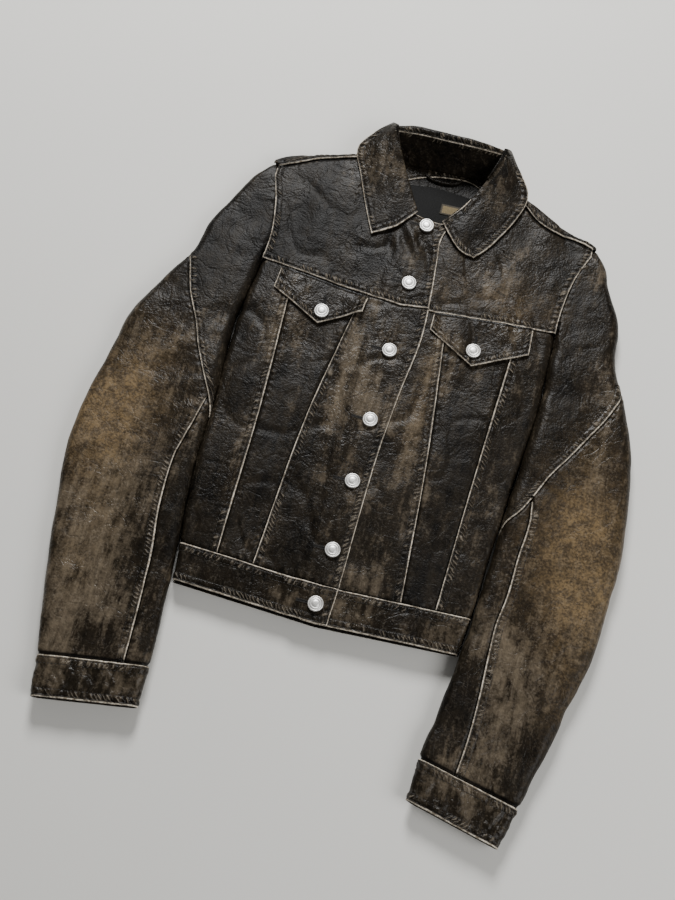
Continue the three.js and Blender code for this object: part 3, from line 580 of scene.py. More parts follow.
def leather_block(place, sides, *, up=(0, 0, 1), cell=1.9, relief=1.0, wrap=False, thickness=LEATHER,
                  stitch_key=None, lie=None, rows=(2.4, 8.8), lay=None, toward=None):
    """The skin of a leather panel. sides says how each edge is sewn, with a weight along it."""
    sheet = Sheet(place, up, cell, wrap, toward)
    x, y, z = (sheet.points[..., k] for k in range(3))
    height = relief * (lie or drape)(x, y)
    puckers = np.zeros_like(x)
    edge, tuck, seam = np.full_like(x, 40.0), np.full_like(x, 40.0), np.zeros_like(x)
    for side, kinds in sides.items():
        for kind, weight in kinds:
            share = weight(sheet.u, sheet.v) if callable(weight) else weight + 0 * x
            seed = next(SEEDS)
            if kind == "plain":
                continue
            away, run = sheet.distance[side], sheet.run[side]
            lift, ladder = seam_relief(away, run, kind, seed)
            scale = 1.0 if relief > 0.5 else 0.6
            height += share * lift * scale
            puckers += share * ladder
            reach = away + 40 * (1 - share)
            seam = np.where(reach < np.minimum(edge, tuck), run + 17.3 * seed, seam)
            if kind == "tuck":
                tuck = np.minimum(tuck, reach)
            elif kind != "fold":
                edge = np.minimum(edge, reach)
    if lay is not None:
        height = lay(height, sheet)
    sheet.push(height)
    # Pucker heights. They paint a highlight on the crests and shade in the valleys, besides marking wear.
    fine = 2.4 * puckers + 0.3 * SMALL(x / 5, y / 9) + 0.25 * LADDER(x / 13, y / 17)
    sheet.settle()
    if stitch_key:
        for side, kinds in sides.items():
            for kind, weight in kinds:
                if kind in ("lap", "edge"):
                    ends = sewn_part(weight, side)
                    for distance in rows:
                        ROWS.add(stitch_key, sheet.inset_line(side, distance, *ends))
    # Each sheet's inside gets fixed marks that paint it partly in shade, darker than its outside.
    marks = {"edge": (edge, 40.0), "tuck": (tuck, 3.3), "crest": (fine, -0.5),
             "seam": (seam, 0.0), "rub": (rubbing(x, y), 0.0), "fade": (fading_and_painted_light(x, y), -0.3)}
    return sheet_block(sheet, thickness, marks), sheet


def leather_sheet(name, place, sides, **more):
    """A leather panel as a piece of its own, with the sheet that it was made from."""
    block, sheet = leather_block(place, sides, **more)
    return build_mesh(name, [block]), sheet


def sewn_part(weight, side):
    """First and last share of a side over which its weight is more than a half."""
    if not callable(weight):
        return 0.0, 1.0
    t = np.linspace(0, 1, 101)
    along = weight(np.zeros(101), t) if side in ("low", "high") else weight(t, np.zeros(101))
    inside = np.nonzero(along > 0.5)[0]
    return (t[inside[0]], t[inside[-1]]) if len(inside) else (0.0, 0.0)


# ---- Shader sums
TURN = 2 * math.pi
PUCKER_PITCH = 4.6  # mm between the finest puckers along a seam
TWILL_PITCH, TWIST_PITCH, WEAVE_PITCH = 0.0011, 0.0009, 0.0008


class Flow:
    """A shader value that adds Math nodes as it is used in an expression."""

    def __init__(self, finish, socket):
        self.finish, self.socket = finish, socket

    def math(self, operation, *values, clamp=False):
        settings = {"operation": operation, "use_clamp": clamp}
        return self.finish.node("ShaderNodeMath", settings, dict(enumerate(values)))[0]

    def __add__(self, other): return self.math("ADD", self, other)
    def __radd__(self, other): return self.math("ADD", other, self)
    def __sub__(self, other): return self.math("SUBTRACT", self, other)
    def __rsub__(self, other): return self.math("SUBTRACT", other, self)
    def __mul__(self, other): return self.math("MULTIPLY", self, other)
    def __rmul__(self, other): return self.math("MULTIPLY", other, self)
    def __truediv__(self, other): return self.math("DIVIDE", self, other)
    def __rtruediv__(self, other): return self.math("DIVIDE", other, self)
    def __pow__(self, other): return self.math("POWER", self, other)
    def __neg__(self): return self.math("MULTIPLY", self, -1.0)

    def sine(self): return self.math("SINE", self)
    def away(self, value): return self.math("ABSOLUTE", self - value)
    def clamped(self): return self.math("ADD", self, 0.0, clamp=True)

    def ease(self, low, high):
        """0 below low and 1 above high, turning smoothly in between. low may be the larger."""
        ends = (low, high, 0.0, 1.0) if low < high else (high, low, 1.0, 0.0)
        sockets = dict(zip(("From Min", "From Max", "To Min", "To Max"), ends), Value=self)
        return self.finish.node("ShaderNodeMapRange", {"interpolation_type": "SMOOTHSTEP"}, sockets)[0]


class Finish:
    """A material in the making: one method adds any node, and the sums come from Flow."""

    def __init__(self, name):
        self.material = bpy.data.materials.new(name)
        self.material.use_nodes = True
        self.tree = self.material.node_tree
        self.tree.nodes.clear()
        self.place = self.node("ShaderNodeTexCoord")["Object"]

    def node(self, kind, settings=None, sockets=None):
        """Adds a node. Its settings come first, then the values or links of its sockets."""
        node = self.tree.nodes.new(kind)
        for key, value in (settings or {}).items():
            if key == "stops":
                ramp = node.color_ramp
                while len(ramp.elements) < len(value):
                    ramp.elements.new(1.0)
                for element, (where, colour) in zip(ramp.elements, value):
                    element.position, element.color = where, (*colour, 1.0)
            else:
                setattr(node, key, value)
        for key, value in (sockets or {}).items():
            socket = node.inputs[key]
            if isinstance(value, Flow):
                self.tree.links.new(value.socket, socket)
            else:
                socket.default_value = (*value, 1.0) if socket.type == "RGBA" else value
        flows = [Flow(self, socket) for socket in node.outputs]
        return {flow.socket.name: flow for flow in flows} | dict(enumerate(flows))

    def noise(self, size, detail=2.0, roughness=0.5, distortion=0.0, stretch=(1, 1, 1)):
        """Noise whose features are about size metres across."""
        where = self.place
        if stretch != (1, 1, 1):
            where = self.node("ShaderNodeMapping", sockets={"Vector": self.place, "Scale": stretch})[0]
        return self.node("ShaderNodeTexNoise", {"noise_dimensions": "3D"}, {
            "Vector": where, "Scale": 1 / size, "Detail": detail, "Roughness": roughness,
            "Distortion": distortion})["Fac"]

    def cells(self, size, feature="F1"):
        return self.node("ShaderNodeTexVoronoi", {"feature": feature}, {
            "Vector": self.place, "Scale": 1 / size})["Distance"]

    def mark(self, name):
        return self.node("ShaderNodeAttribute", {"attribute_name": name})["Fac"]

    def mix(self, factor, first, second):
        """A colour between two colours or colour links."""
        return self.node("ShaderNodeMix", {"data_type": "RGBA"}, {0: factor, 6: first, 7: second})[2]

    def bump(self, height, distance, under=None):
        sockets = {"Height": height, "Distance": distance, "Strength": 1.0}
        if under is not None:
            sockets["Normal"] = under
        return self.node("ShaderNodeBump", sockets=sockets)[0]

    def surface(self, **sockets):
        named = {key.replace("_", " "): value for key, value in sockets.items()}
        shader = self.node("ShaderNodeBsdfPrincipled", sockets=named)[0]
        self.node("ShaderNodeOutputMaterial", sockets={"Surface": shader})
        return self.material


def leather_finish(name, tints, dark, middle, pale, gloss=0.0):
    """Distressed leather: mottled, grained, worn to cream at its edges and to tan where it rubs, with
    painted highlights on pucker crests and painted shade in hollows, stitch grooves and under lapped seams.
    """
    f = Finish(name)
    marks = ("edge", "tuck", "crest", "rub", "fade", "seam")
    edge, tuck, crest, rub, fade, seam = (f.mark(key) for key in marks)
    cloud, blotch = f.noise(0.05, 3, 0.6), f.noise(0.012, 3, 0.65, 0.4)
    speck, grain = f.noise(0.0028, 2, 0.7), f.noise(0.0012, 2, 0.6)
    streak = f.noise(0.007, 3, 0.65, 0.2, stretch=(1.0, 0.14, 1.0))
    crease_line = 1.0 - f.noise(0.034, 3, 0.5, 0.8).away(0.5) * 24.0
    scratch = 1.0 - f.noise(0.016, 2, 0.5, 2.2, stretch=(1.0, 0.4, 1.0)).away(0.52) * 26.0
    # Rungs across the puckers beside seams. They paint the pucker crests lighter: painted highlight, with
    # wear.
    wave = ((seam + edge * 0.7) * (TURN / PUCKER_PITCH) + (blotch - 0.5) * 12.0).sine()
    rung = (wave * 0.5 + 0.5) ** 2.2
    ladder = rung * edge.ease(1.2, 2.4) * edge.ease(10.0, 7.0) * f.noise(0.022, 1).ease(0.4, 0.56)
    mottle = 0.5 * cloud + 0.4 * blotch + 0.22 * speck + 0.5 * streak - 0.81
    # Tone is random mottling, plus the painted sheen and shade laid over the panels, plus a painted
    # highlight on pucker crests.
    tone = (0.415 + 1.8 * mottle + 0.5 * fade + 0.05 * crest).clamped()
    colour = f.node("ShaderNodeValToRGB", {"stops": [(0.05, dark), (0.5, middle), (1.0, pale)]},
                    {"Fac": tone})["Color"]
    tan = f.mix((0.5 * blotch + 0.5 * speck).ease(0.38, 0.62), tints["tan_dark"], tints["tan"])
    colour = f.mix((rub * (0.5 + 0.5 * blotch + 0.9 * (speck - 0.5))).clamped() * 0.9, colour, tan)
    # Lighter pucker crests and rungs: wear plus painted highlight. The scratch lines below are real wear.
    worn = (crest * 0.6 + (speck - 0.5) * 0.7 + ladder * 1.3).ease(0.4, 1.4) * 0.6
    lines = scratch.clamped() * (0.35 + fade * 0.5).clamped() * speck.ease(0.4, 0.6) * 0.4
    colour = f.mix((worn + lines).clamped(), colour, tints["ridge"])
    # Painted shade in crease lines and in the valleys between puckers, with some random speckle.
    hollow = (crease_line.clamped() * 0.6 + (0.5 - speck) * 0.3 - crest * 0.5).ease(0.3, 1.0)
    colour = f.mix(hollow * 0.6, colour, tints["shade"])
    # Painted shade in the grooves of the two stitch rows.
    stitch_groove_shade = (1.0 - edge.away(3.0) * 1.4).clamped() + (1.0 - edge.away(8.8) * 1.5).clamped() * 0.6
    colour = f.mix((stitch_groove_shade * (0.3 + rung * 0.3)).clamped(), colour, tints["shade"])
    wander = edge + (speck - 0.5) * 1.6 + (cloud - 0.5) * 2.4 + (streak - 0.5) * 1.4
    cream = wander.ease(1.7, 0.9)
    colour = f.mix(cream * (0.4 + 0.6 * blotch.ease(0.35, 0.6)), colour,
                   f.mix(speck.ease(0.35, 0.6), tints["cream_dark"], tints["cream"]))
    # Painted shade along the step where a panel runs in under the one that laps it.
    under = tuck.ease(4.2, 2.1)
    colour = f.mix(under * 0.93, colour, tints["shade"])
    fine = f.bump(grain * 0.5 + f.cells(0.0024) * 0.5, 0.0004)
    crease = f.noise(0.024, 4, 0.52, 0.7)
    rough = 0.36 - gloss + 0.15 * (speck - 0.5) + 0.25 * (cloud - 0.5) - 0.16 * fade + 0.12 * rub.clamped()
    relief = crease * 0.9 + speck * 0.12 - crease_line.clamped() * 0.12 + ladder * 0.4 - stitch_groove_shade * 0.16
    normal = f.bump(relief, 0.0017, under=fine)
    return f.surface(Base_Color=colour, Roughness=(rough + cream * 0.2).clamped(), Normal=normal,
                     Specular_IOR_Level=0.125)


def lining_finish(name, tints):
    """Charcoal twill: fine slanting ribs with a little sheen."""
    f = Finish(name)
    parts = f.node("ShaderNodeSeparateXYZ", sockets={"Vector": f.place})
    slant = parts["X"] + parts["Y"] + parts["Z"] * 0.6
    rib = (slant * (TURN / TWILL_PITCH)).sine() * 0.5 + 0.5
    wear = f.noise(0.03, 3)
    colour = f.mix((rib * 0.25 + wear * 0.6).clamped(), tints["lining_dark"], tints["lining_light"])
    normal = f.bump(rib + f.noise(0.0007) * 0.4, 0.00015)
    return f.surface(Base_Color=colour, Roughness=0.62 + 0.12 * wear, Normal=normal, Specular_IOR_Level=0.2)


def metal_finish(name, tints):
    """Cast pewter: pale, softly brushed, darker in the hollows of its relief."""
    f = Finish(name)
    scratch, cloud = f.noise(0.0007, 2, 0.6, 0.3), f.noise(0.004, 3, 0.6)
    hollow = f.mark("hollow")
    colour = f.mix((cloud * 0.5 + 0.15).clamped(), tints["pewter"], tints["pewter_dark"])
    colour = f.mix(hollow * 0.7, colour, tints["tarnish"])
    return f.surface(Base_Color=colour, Metallic=0.85, Roughness=(0.34 + 0.16 * scratch + 0.1 * hollow),
                     Normal=f.bump(scratch, 0.00008))


def thread_finish(name, tints, key):
    """Waxed thread: two twisted strands."""
    f = Finish(name)
    parts = f.node("ShaderNodeSeparateXYZ", sockets={"Vector": f.place})
    slant = (parts["X"] + parts["Y"]) * (TURN / TWIST_PITCH)
    twist = slant.sine() * 0.5 + 0.5
    colour = f.mix(twist * 0.6 + f.noise(0.002) * 0.4, tints[key], tints[key + "_light"])
    return f.surface(Base_Color=colour, Roughness=0.55 + 0.1 * twist, Normal=f.bump(twist, 0.0001))


def label_finish(name, tints):
    """A woven patch: fine warp and weft in a dull gold, with a darker border."""
    f = Finish(name)
    parts = f.node("ShaderNodeSeparateXYZ", sockets={"Vector": f.place})
    warp, weft = parts["X"] * (TURN / WEAVE_PITCH), parts["Y"] * (TURN / WEAVE_PITCH)
    weave = warp.sine() * weft.sine() * 0.5 + 0.5
    border = f.mark("edge").ease(2.4, 1.8)
    colour = f.mix(weave * 0.5 + f.noise(0.003) * 0.5, tints["label"], tints["label_light"])
    colour = f.mix(border * 0.8, colour, tints["lining_dark"])
    return f.surface(Base_Color=colour, Roughness=0.6 + 0.1 * weave, Normal=f.bump(weave, 0.00015))


# ---- Stitches
def stitch_tree():
    """A tree that lays one small bead for each stitch along lines that hold the way out of the leather."""
    tree = bpy.data.node_groups.new("stitch_rows", "GeometryNodeTree")
    face = tree.interface
    face.new_socket("Lines", in_out="INPUT", socket_type="NodeSocketGeometry")
    for key, value in (("Pitch", 0.0042), ("Length", 0.003), ("Width", 0.0007), ("Height", 0.0005),
                       ("Lift", 0.0)):
        socket = face.new_socket(key, in_out="INPUT", socket_type="NodeSocketFloat")
        socket.default_value = value
    face.new_socket("Seed", in_out="INPUT", socket_type="NodeSocketInt")
    face.new_socket("Thread", in_out="INPUT", socket_type="NodeSocketMaterial")
    face.new_socket("Stitches", in_out="OUTPUT", socket_type="NodeSocketGeometry")

    def node(kind, settings=None, links=None):
        made = tree.nodes.new(kind)
        for key, value in (settings or {}).items():
            setattr(made, key, value)
        for key, value in (links or {}).items():
            if isinstance(value, bpy.types.NodeSocket):
                tree.links.new(value, made.inputs[key])
            else:
                made.inputs[key].default_value = value
        return made

    start = node("NodeGroupInput").outputs
    out = node("GeometryNodeInputNamedAttribute", {"data_type": "FLOAT_VECTOR"}, {"Name": "out"}).outputs[0]
    curve = node("GeometryNodeMeshToCurve", links={"Mesh": start["Lines"]}).outputs[0]
    spaced = node("GeometryNodeResampleCurve", {"mode": "LENGTH"},
                  {"Curve": curve, "Length": start["Pitch"]}).outputs[0]
    shift = node("ShaderNodeVectorMath", {"operation": "SCALE"},
                 {0: out, "Scale": start["Lift"]}).outputs[0]
    raised = node("GeometryNodeSetPosition", links={"Geometry": spaced, "Offset": shift}).outputs[0]
    bead = node("GeometryNodeMeshUVSphere", links={"Segments": 6, "Rings": 4, "Radius": 0.5}).outputs[0]
    size = node("ShaderNodeCombineXYZ", links={"X": start["Length"], "Y": start["Width"],
                                               "Z": start["Height"]}).outputs[0]
    bead = node("GeometryNodeTransform", links={"Geometry": bead, "Scale": size}).outputs[0]
    tangent = node("GeometryNodeInputTangent").outputs[0]
    turn = node("FunctionNodeAxesToRotation", {"primary_axis": "Z", "secondary_axis": "X"},
                {"Primary Axis": out, "Secondary Axis": tangent}).outputs[0]
    vary = node("FunctionNodeRandomValue", {"data_type": "FLOAT_VECTOR"},
                {"Min": (0.84, 0.85, 0.85), "Max": (1.04, 1.1, 1.1), "Seed": start["Seed"]}).outputs[0]
    placed = node("GeometryNodeInstanceOnPoints", links={
        "Points": raised, "Instance": bead, "Rotation": turn, "Scale": vary}).outputs[0]
    real = node("GeometryNodeRealizeInstances", links={"Geometry": placed}).outputs[0]
    smooth = node("GeometryNodeSetShadeSmooth", links={"Geometry": real}).outputs[0]
    done = node("GeometryNodeSetMaterial",
                links={"Geometry": smooth, "Material": start["Thread"]}).outputs[0]
    node("NodeGroupOutput", links={"Stitches": done})
    return tree


def sew(name, lines, stitch, seed=7):
    """Stitches along lines of (points in mm, outward directions), as one plain mesh.

    A stitch is its pitch, length, width and height, in metres.
    """
    points = np.concatenate([line[0] for line in lines]) * MM
    out = np.concatenate([line[1] for line in lines])
    edges, start = [], 0
    for line in lines:
        edges += [(start + i, start + i + 1) for i in range(len(line[0]) - 1)]
        start += len(line[0])
    mesh = bpy.data.meshes.new(name + "_lines")
    mesh.from_pydata(points.tolist(), edges, [])
    directions = mesh.attributes.new("out", "FLOAT_VECTOR", "POINT")
    directions.data.foreach_set("vector", out.astype(np.float32).ravel())
    guide = bpy.data.objects.new(name + "_lines", mesh)
    bpy.context.scene.collection.objects.link(guide)
    tree = bpy.data.node_groups.get("stitch_rows") or stitch_tree()
    modifier = guide.modifiers.new("Stitches", "NODES")
    modifier.node_group = tree
    values = dict(zip(("Pitch", "Length", "Width", "Height"), stitch), Lift=0.0, Seed=seed,
                  Thread=FINISHES["dark_thread"])
    for item in tree.interface.items_tree:
        if item.in_out == "INPUT" and item.name in values:
            modifier[item.identifier] = values[item.name]
    depsgraph = bpy.context.evaluated_depsgraph_get()
    result = bpy.data.meshes.new_from_object(guide.evaluated_get(depsgraph))
    bpy.data.objects.remove(guide)
    obj = bpy.data.objects.new(name, result)
    bpy.context.scene.collection.objects.link(obj)
    if not result.polygons:
        raise RuntimeError(f"{name} came out without stitches")
    return obj


# ---- Finishing a piece
def finished(obj, slot, body=None, replaces=(), blend=None):
    """Gives a piece its finish, and hides the frame nodes that it stands for. Without blend it is put on its
    body; with blend it is only baked in place.
    """
    obj.data.materials.clear()
    obj.data.materials.append(FINISHES[slot])
    if blend:
        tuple(blend[1])
        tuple(blend[2])
        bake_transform(obj)
    else:
        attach(obj, body)
    if slot != "dark_thread":
        "body_leather" if slot == "collar_leather" else slot
    if replaces:
        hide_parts(*replaces)
    return obj


FINISHES = {}
SLEEVE_FOLDS = {"right": ((-0.167, 0.230, 0.029), (-0.99947, -0.0324, 0)),
                "left": ((0.1755, 0.223, 0.029), (0.997, -0.0772, 0))}


def sleeve_blend(name):
    """The name of a sleeve's body, and the two points beside the armhole where a bend would start and end.
    """
    place, outward = (Vector(v) for v in SLEEVE_FOLDS[name])
    return f"{name}_sleeve", tuple(place + outward * 0.005), tuple(place + outward * 0.06)


def leaf_blend(name):
    """The name of a collar point's body, its corner at the back collar, and a point 55 mm from that corner
    towards its front.
    """
    roll = np.array(SIDES[name].leaf_roll)
    back, front = Vector(roll[-1] * MM), Vector(roll[0] * MM)
    return f"{name}_collar_leaf", tuple(back), tuple(back + (front - back).normalized() * 0.055)


def between(side, inner, outer):
    return (outer, inner) if side.sign < 0 else (inner, outer)


def facing(side, inner, outer):
    """Edge kinds for the low and high sides of a panel, from those at its inner and outer ends."""
    low, high = between(side, inner, outer)
    return {"low": low, "high": high}


def patch(side, edges, bottom, top, place, reach=(0, 0, 0, 0)):
    """place(u, v) for a panel between two side lines and two cross seams, run on by reach past each."""
    left, right = edges
    low, high, start, end = reach

    def at(u, v):
        x = lerp(left(v) - low, right(v) + high, u)
        return place(x, lerp(bottom(x) - start, top(x) + end, v))
    return at


def side_line(side, bottom, top, extra=0.0):
    """x of the body's side at a share of the way between two cross seams."""
    def at(v):
        x = side.sign * CHEST_HALF + 0 * np.asarray(v, float)
        for _ in range(3):
            x = side.edge(lerp(bottom(x), top(x), v))
        return x + side.sign * extra
    return at


def overlap_line(bottom, top):
    edge = through(OVERLAP_EDGE)
    return lambda v: edge(lerp(bottom, top, np.asarray(v, float)))


PLAIN, LAP, EDGE, TUCK, FOLD = ([(kind, 1.0)] for kind in ("plain", "lap", "edge", "tuck", "fold"))


def reach_for(sides):
    return tuple(TUCK_REACH if sides.get(key) is TUCK else 0 for key in ("low", "high", "start", "end"))


def front_panels(name):
    """The yoke, the three upright panels and the waistband of one front."""
    side = SIDES[name]
    right = side.sign < 0
    front_kind = EDGE if right else PLAIN
    prefix = f"{name}_front_"
    inner, outer = evenly(side.princess_inner), evenly(side.princess_outer)
    underlap = lambda v: -UNDERLAP + 0 * np.asarray(v, float)

    def flat(x, y):
        return side.front(x, y, rise=right)

    def make(part, edges, bottom, top, sides, place, slot="body_leather", **more):
        at = patch(side, edges, bottom, top, place, reach_for(sides))
        obj, _ = leather_sheet(prefix + part, at, sides, stitch_key="root", **more)
        return finished(obj, slot, "root", replaces=[prefix + part])

    front_edge = overlap_line(HEM_Y + WAISTBAND, YOKE_Y) if right else underlap
    upright = {"start": TUCK, "end": TUCK}
    make("centre_panel", between(side, front_edge, inner), side.waist, side.yoke,
         {**facing(side, front_kind, LAP), **upright}, flat)
    make("pocket_panel", between(side, inner, outer), side.waist, side.yoke,
         {**facing(side, TUCK, TUCK), **upright}, lambda x, y: side.front(x, y))
    make("side_panel", between(side, outer, side_line(side, side.waist, side.yoke, FOLD_EXTRA)), side.waist,
         side.yoke, {**facing(side, LAP, PLAIN), **upright}, lambda x, y: side.front(x, y, "side"))

    seam_line = through(SHOULDER_SEAMS[name])
    neck_end = abs(side.neckline[0][0] if right else side.neckline[-1][0])

    def yoke_top(x):
        return np.where(np.abs(x) < neck_end, side.neck_line(x), seam_line(x))
    yoke_front = overlap_line(YOKE_Y, NECK_Y) if right else underlap
    along = (lambda u: np.abs(lerp(-190, 30, u))) if right else (lambda u: np.abs(lerp(-15, 200, u)))
    yoke_side = side_line(side, side.yoke, side.shoulder_line)
    make("yoke", between(side, yoke_front, yoke_side), side.yoke, yoke_top,
         {**facing(side, front_kind, LAP), "start": LAP,
          "end": [("tuck", lambda u, v: ease(along(u), neck_end - 4, neck_end + 4)),
                  ("edge", lambda u, v: 1 - ease(along(u), neck_end - 4, neck_end + 4))]},
         lambda x, y: side.front(x, y, "shoulder", right))

    def band(x, y):
        folded = side.front(x, y, "side")
        return np.where((side.sign * x > CHEST_HALF / 2)[..., None], folded, side.front(x, y, rise=right))
    band_front = overlap_line(HEM_Y, HEM_Y + WAISTBAND) if right else underlap
    band_side = side_line(side, side.hem, side.waist, FOLD_EXTRA)
    make("waistband", between(side, band_front, band_side), side.hem, side.waist,
         {**facing(side, front_kind, PLAIN), "start": EDGE, "end": LAP}, band, "trim_leather")


SHOULDER_SEAMS = {
    "right": [(-200, 322), (-185, 328), (-169, 336), (-148, 347), (-125, 355), (-102, 361), (-80, 364)],
    "left": [(90, 362), (111, 349), (125, 336), (141, 326), (158, 321), (176, 318), (196, 312)],
}


def pocket_flap(name):
    """A pointed flap that hangs from the yoke seam and lifts with its own body."""
    side = SIDES[name]
    right = side.sign < 0
    bottom, top = straight(side.flap_bottom), straight(side.flap_top)
    (x0, x1), (x2, x3) = side.flap_ends
    height = CHEST_TOP + 2.3

    def place(x, y):
        drop = top(x) - y
        lift = 0.035 * drop
        if right:
            lift = lift + 4.5 * ease(x, -62, -38) * ease(drop, 2, 16)
        return np.stack([x, y, height + lift], -1)
    at = patch(side, (lambda v: lerp(x0, x1, v), lambda v: lerp(x2, x3, v)), bottom, top, place)
    sides = {"low": EDGE, "high": EDGE, "start": EDGE, "end": TUCK}
    obj, sheet = leather_sheet(f"{name}_pocket_flap", at, sides, cell=1.5, relief=0.9,
                               stitch_key=f"{name}_flap")
    finished(obj, "trim_leather", f"{name}_flap",
             replaces=[f"{name}_pocket_flap", f"{name}_flap_buttonhole"])
    HEIGHTS[f"{name}_flap"] = sheet


HEIGHTS = {}


def sheet_height(sheet, x, y):
    """Height in mm of a sheet's surface nearest to a place."""
    far = (sheet.points[..., 0] - x) ** 2 + (sheet.points[..., 1] - y) ** 2
    return float(sheet.points[np.unravel_index(far.argmin(), far.shape)][2])


def sleeve(name):
    """Upper, outer, inner and back panels of a sleeve, its lining and its cuff."""
    side = SIDES[name]
    bend = sleeve_blend(name)
    last, begin = side.diagonal[-1][0], side.lower_start
    key = f"{name}_sleeve"

    def diagonal(station):
        return np.where(station < side.diagonal[0][0], 1.0, np.clip(side.diagonal_seam(station), 0, 1))

    def shell(first, end, low, high, face=1, low_reach=None, high_reach=0.0):
        def at(u, v):
            station = lerp(first, end, v)
            run = lerp(low(station), high(station), u)
            nudge = high_reach * u ** 8
            if low_reach is not None:
                nudge = nudge - TUCK_REACH * low_reach(station) * (1 - u) ** 8
            return side.shell(station, run, face, nudge)
        return at

    def weight(first, end, rule):
        return lambda u, v: rule(lerp(first, end, v)) + 0 * u

    zero, one = (lambda s: 0 * s), (lambda s: 0 * s + 1)
    open_hole = lambda s: 1 - ease(s, 2.5, 3.0)

    def make(part, at, sides, nodes, slot="body_leather", **more):
        obj, sheet = leather_sheet(f"{name}_{part}", at, sides, stitch_key=key, lie=sleeve_lie, **more)
        finished(obj, slot, replaces=nodes, blend=bend)
        return sheet

    crossing = side.diagonal[0][0]
    make("upper_sleeve", shell(0, last, zero, diagonal, low_reach=open_hole),
         {"low": [("tuck", weight(0, last, open_hole))],
          "high": [("lap", weight(0, last, lambda s: ease(s, crossing, crossing + 0.15)))],
          "start": PLAIN, "end": PLAIN},
         [f"{name}_upper_sleeve"])
    first = side.diagonal[0][0] + 0.06
    outer_low = lambda s: np.where(s < begin, diagonal(s), np.clip(side.lower_seam(s), 0, 1))
    tucked = lambda s: 1 - ease(s, begin - 0.1, begin)
    make("outer_sleeve", shell(first, CUFF_STATION, outer_low, one, low_reach=tucked),
         {"low": [("tuck", weight(first, CUFF_STATION, lambda s: 1 - ease(s, begin - 0.08, begin))),
                  ("lap", weight(first, CUFF_STATION, lambda s: ease(s, begin, begin + 0.05)))],
          "high": PLAIN, "start": PLAIN, "end": TUCK}, [f"{name}_outer_sleeve"])
    inner_low = lambda s: np.where(s < last, diagonal(s), 0.0)
    make("inner_sleeve", shell(begin, CUFF_STATION, inner_low, lambda s: np.clip(side.lower_seam(s), 0, 1),
                               low_reach=lambda s: 1 - ease(s, last - 0.1, last), high_reach=TUCK_REACH),
         {"low": [("tuck", weight(begin, CUFF_STATION, lambda s: 1 - ease(s, last - 0.1, last)))],
          "high": TUCK, "start": PLAIN, "end": TUCK}, [f"{name}_inner_sleeve"])
    make("sleeve_back", shell(0, CUFF_STATION, zero, one, face=-1, low_reach=open_hole),
         {"low": [("tuck", weight(0, CUFF_STATION, open_hole))],
          "high": PLAIN, "start": PLAIN, "end": TUCK},
         [f"{name}_sleeve_back"], up=(0, 0, -1), cell=2.6, lay=on_floor)
    make("cuff", lambda u, v: side.tube(CUFF_STATION + 0.01 + 0.99 * v, u, 0.0),
         {"start": LAP, "end": EDGE},
         [f"{name}_cuff"], slot="trim_leather", wrap=True, cell=1.5, lay=crinkled)

    inside = lambda u, v: side.tube(lerp(3.0, CUFF_STATION - 0.02, v), u, LEATHER + 2.1)
    lining = Sheet(inside, (0, 0, 1), 6, wrap=True)
    cloth_piece(f"{name}_sleeve_lining", lining, blend=bend)


def sleeve_lie(x, y):
    """Sleeves have longer, deeper folds than the body, and gathers at the crook of the elbow."""
    side = np.sign(x)
    slant = y + 0.5 * side * x
    rise = 2.0 * BROAD(x / 60, y / 110) + 1.35 * MIDDLE(x / 38 + 3, slant / 27)
    rise = rise + 0.35 * SMALL(x / 13, y / 11)
    crook = np.exp(-((side * x - 195) / 28) ** 2 - ((y + 5) / 55) ** 2)
    return rise + 1.6 * crook * SWELL(x / 40, slant / 11)


def on_floor(height, sheet):
    """The underside lies on the floor, so its relief only goes inwards there."""
    down = ease(-sheet.normal[..., 2], 0.2, 0.8)
    return lerp(height, np.minimum(height, 0) * 0.5, down)


def crinkled(height, sheet):
    x, y = sheet.points[..., 0], sheet.points[..., 1]
    ridge = 1 - np.abs(MIDDLE((x + y) / 9, (x - y) / 26))
    up = ease(sheet.normal[..., 2], -0.4, 0.3)
    return height + up * (2.1 * (ridge - 0.6) + 0.7 * SMALL((x - 0.6 * y) / 6, y / 9))


def cloth_piece(name, sheet, body=None, blend=None, thickness=LINING, slot="lining_cloth"):
    x, y = sheet.points[..., 0], sheet.points[..., 1]
    edge = np.minimum.reduce([sheet.distance[key] for key in ("low", "high", "start", "end")])
    sheet.push(0.35 * MIDDLE(x / 30, y / 40) * ease(edge, 0, 6))
    sheet.settle()
    obj = build_mesh(name, [sheet_block(sheet, thickness, {"edge": (edge, 40.0)})])
    node = [name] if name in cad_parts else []
    return finished(obj, slot, body, replaces=node, blend=blend)


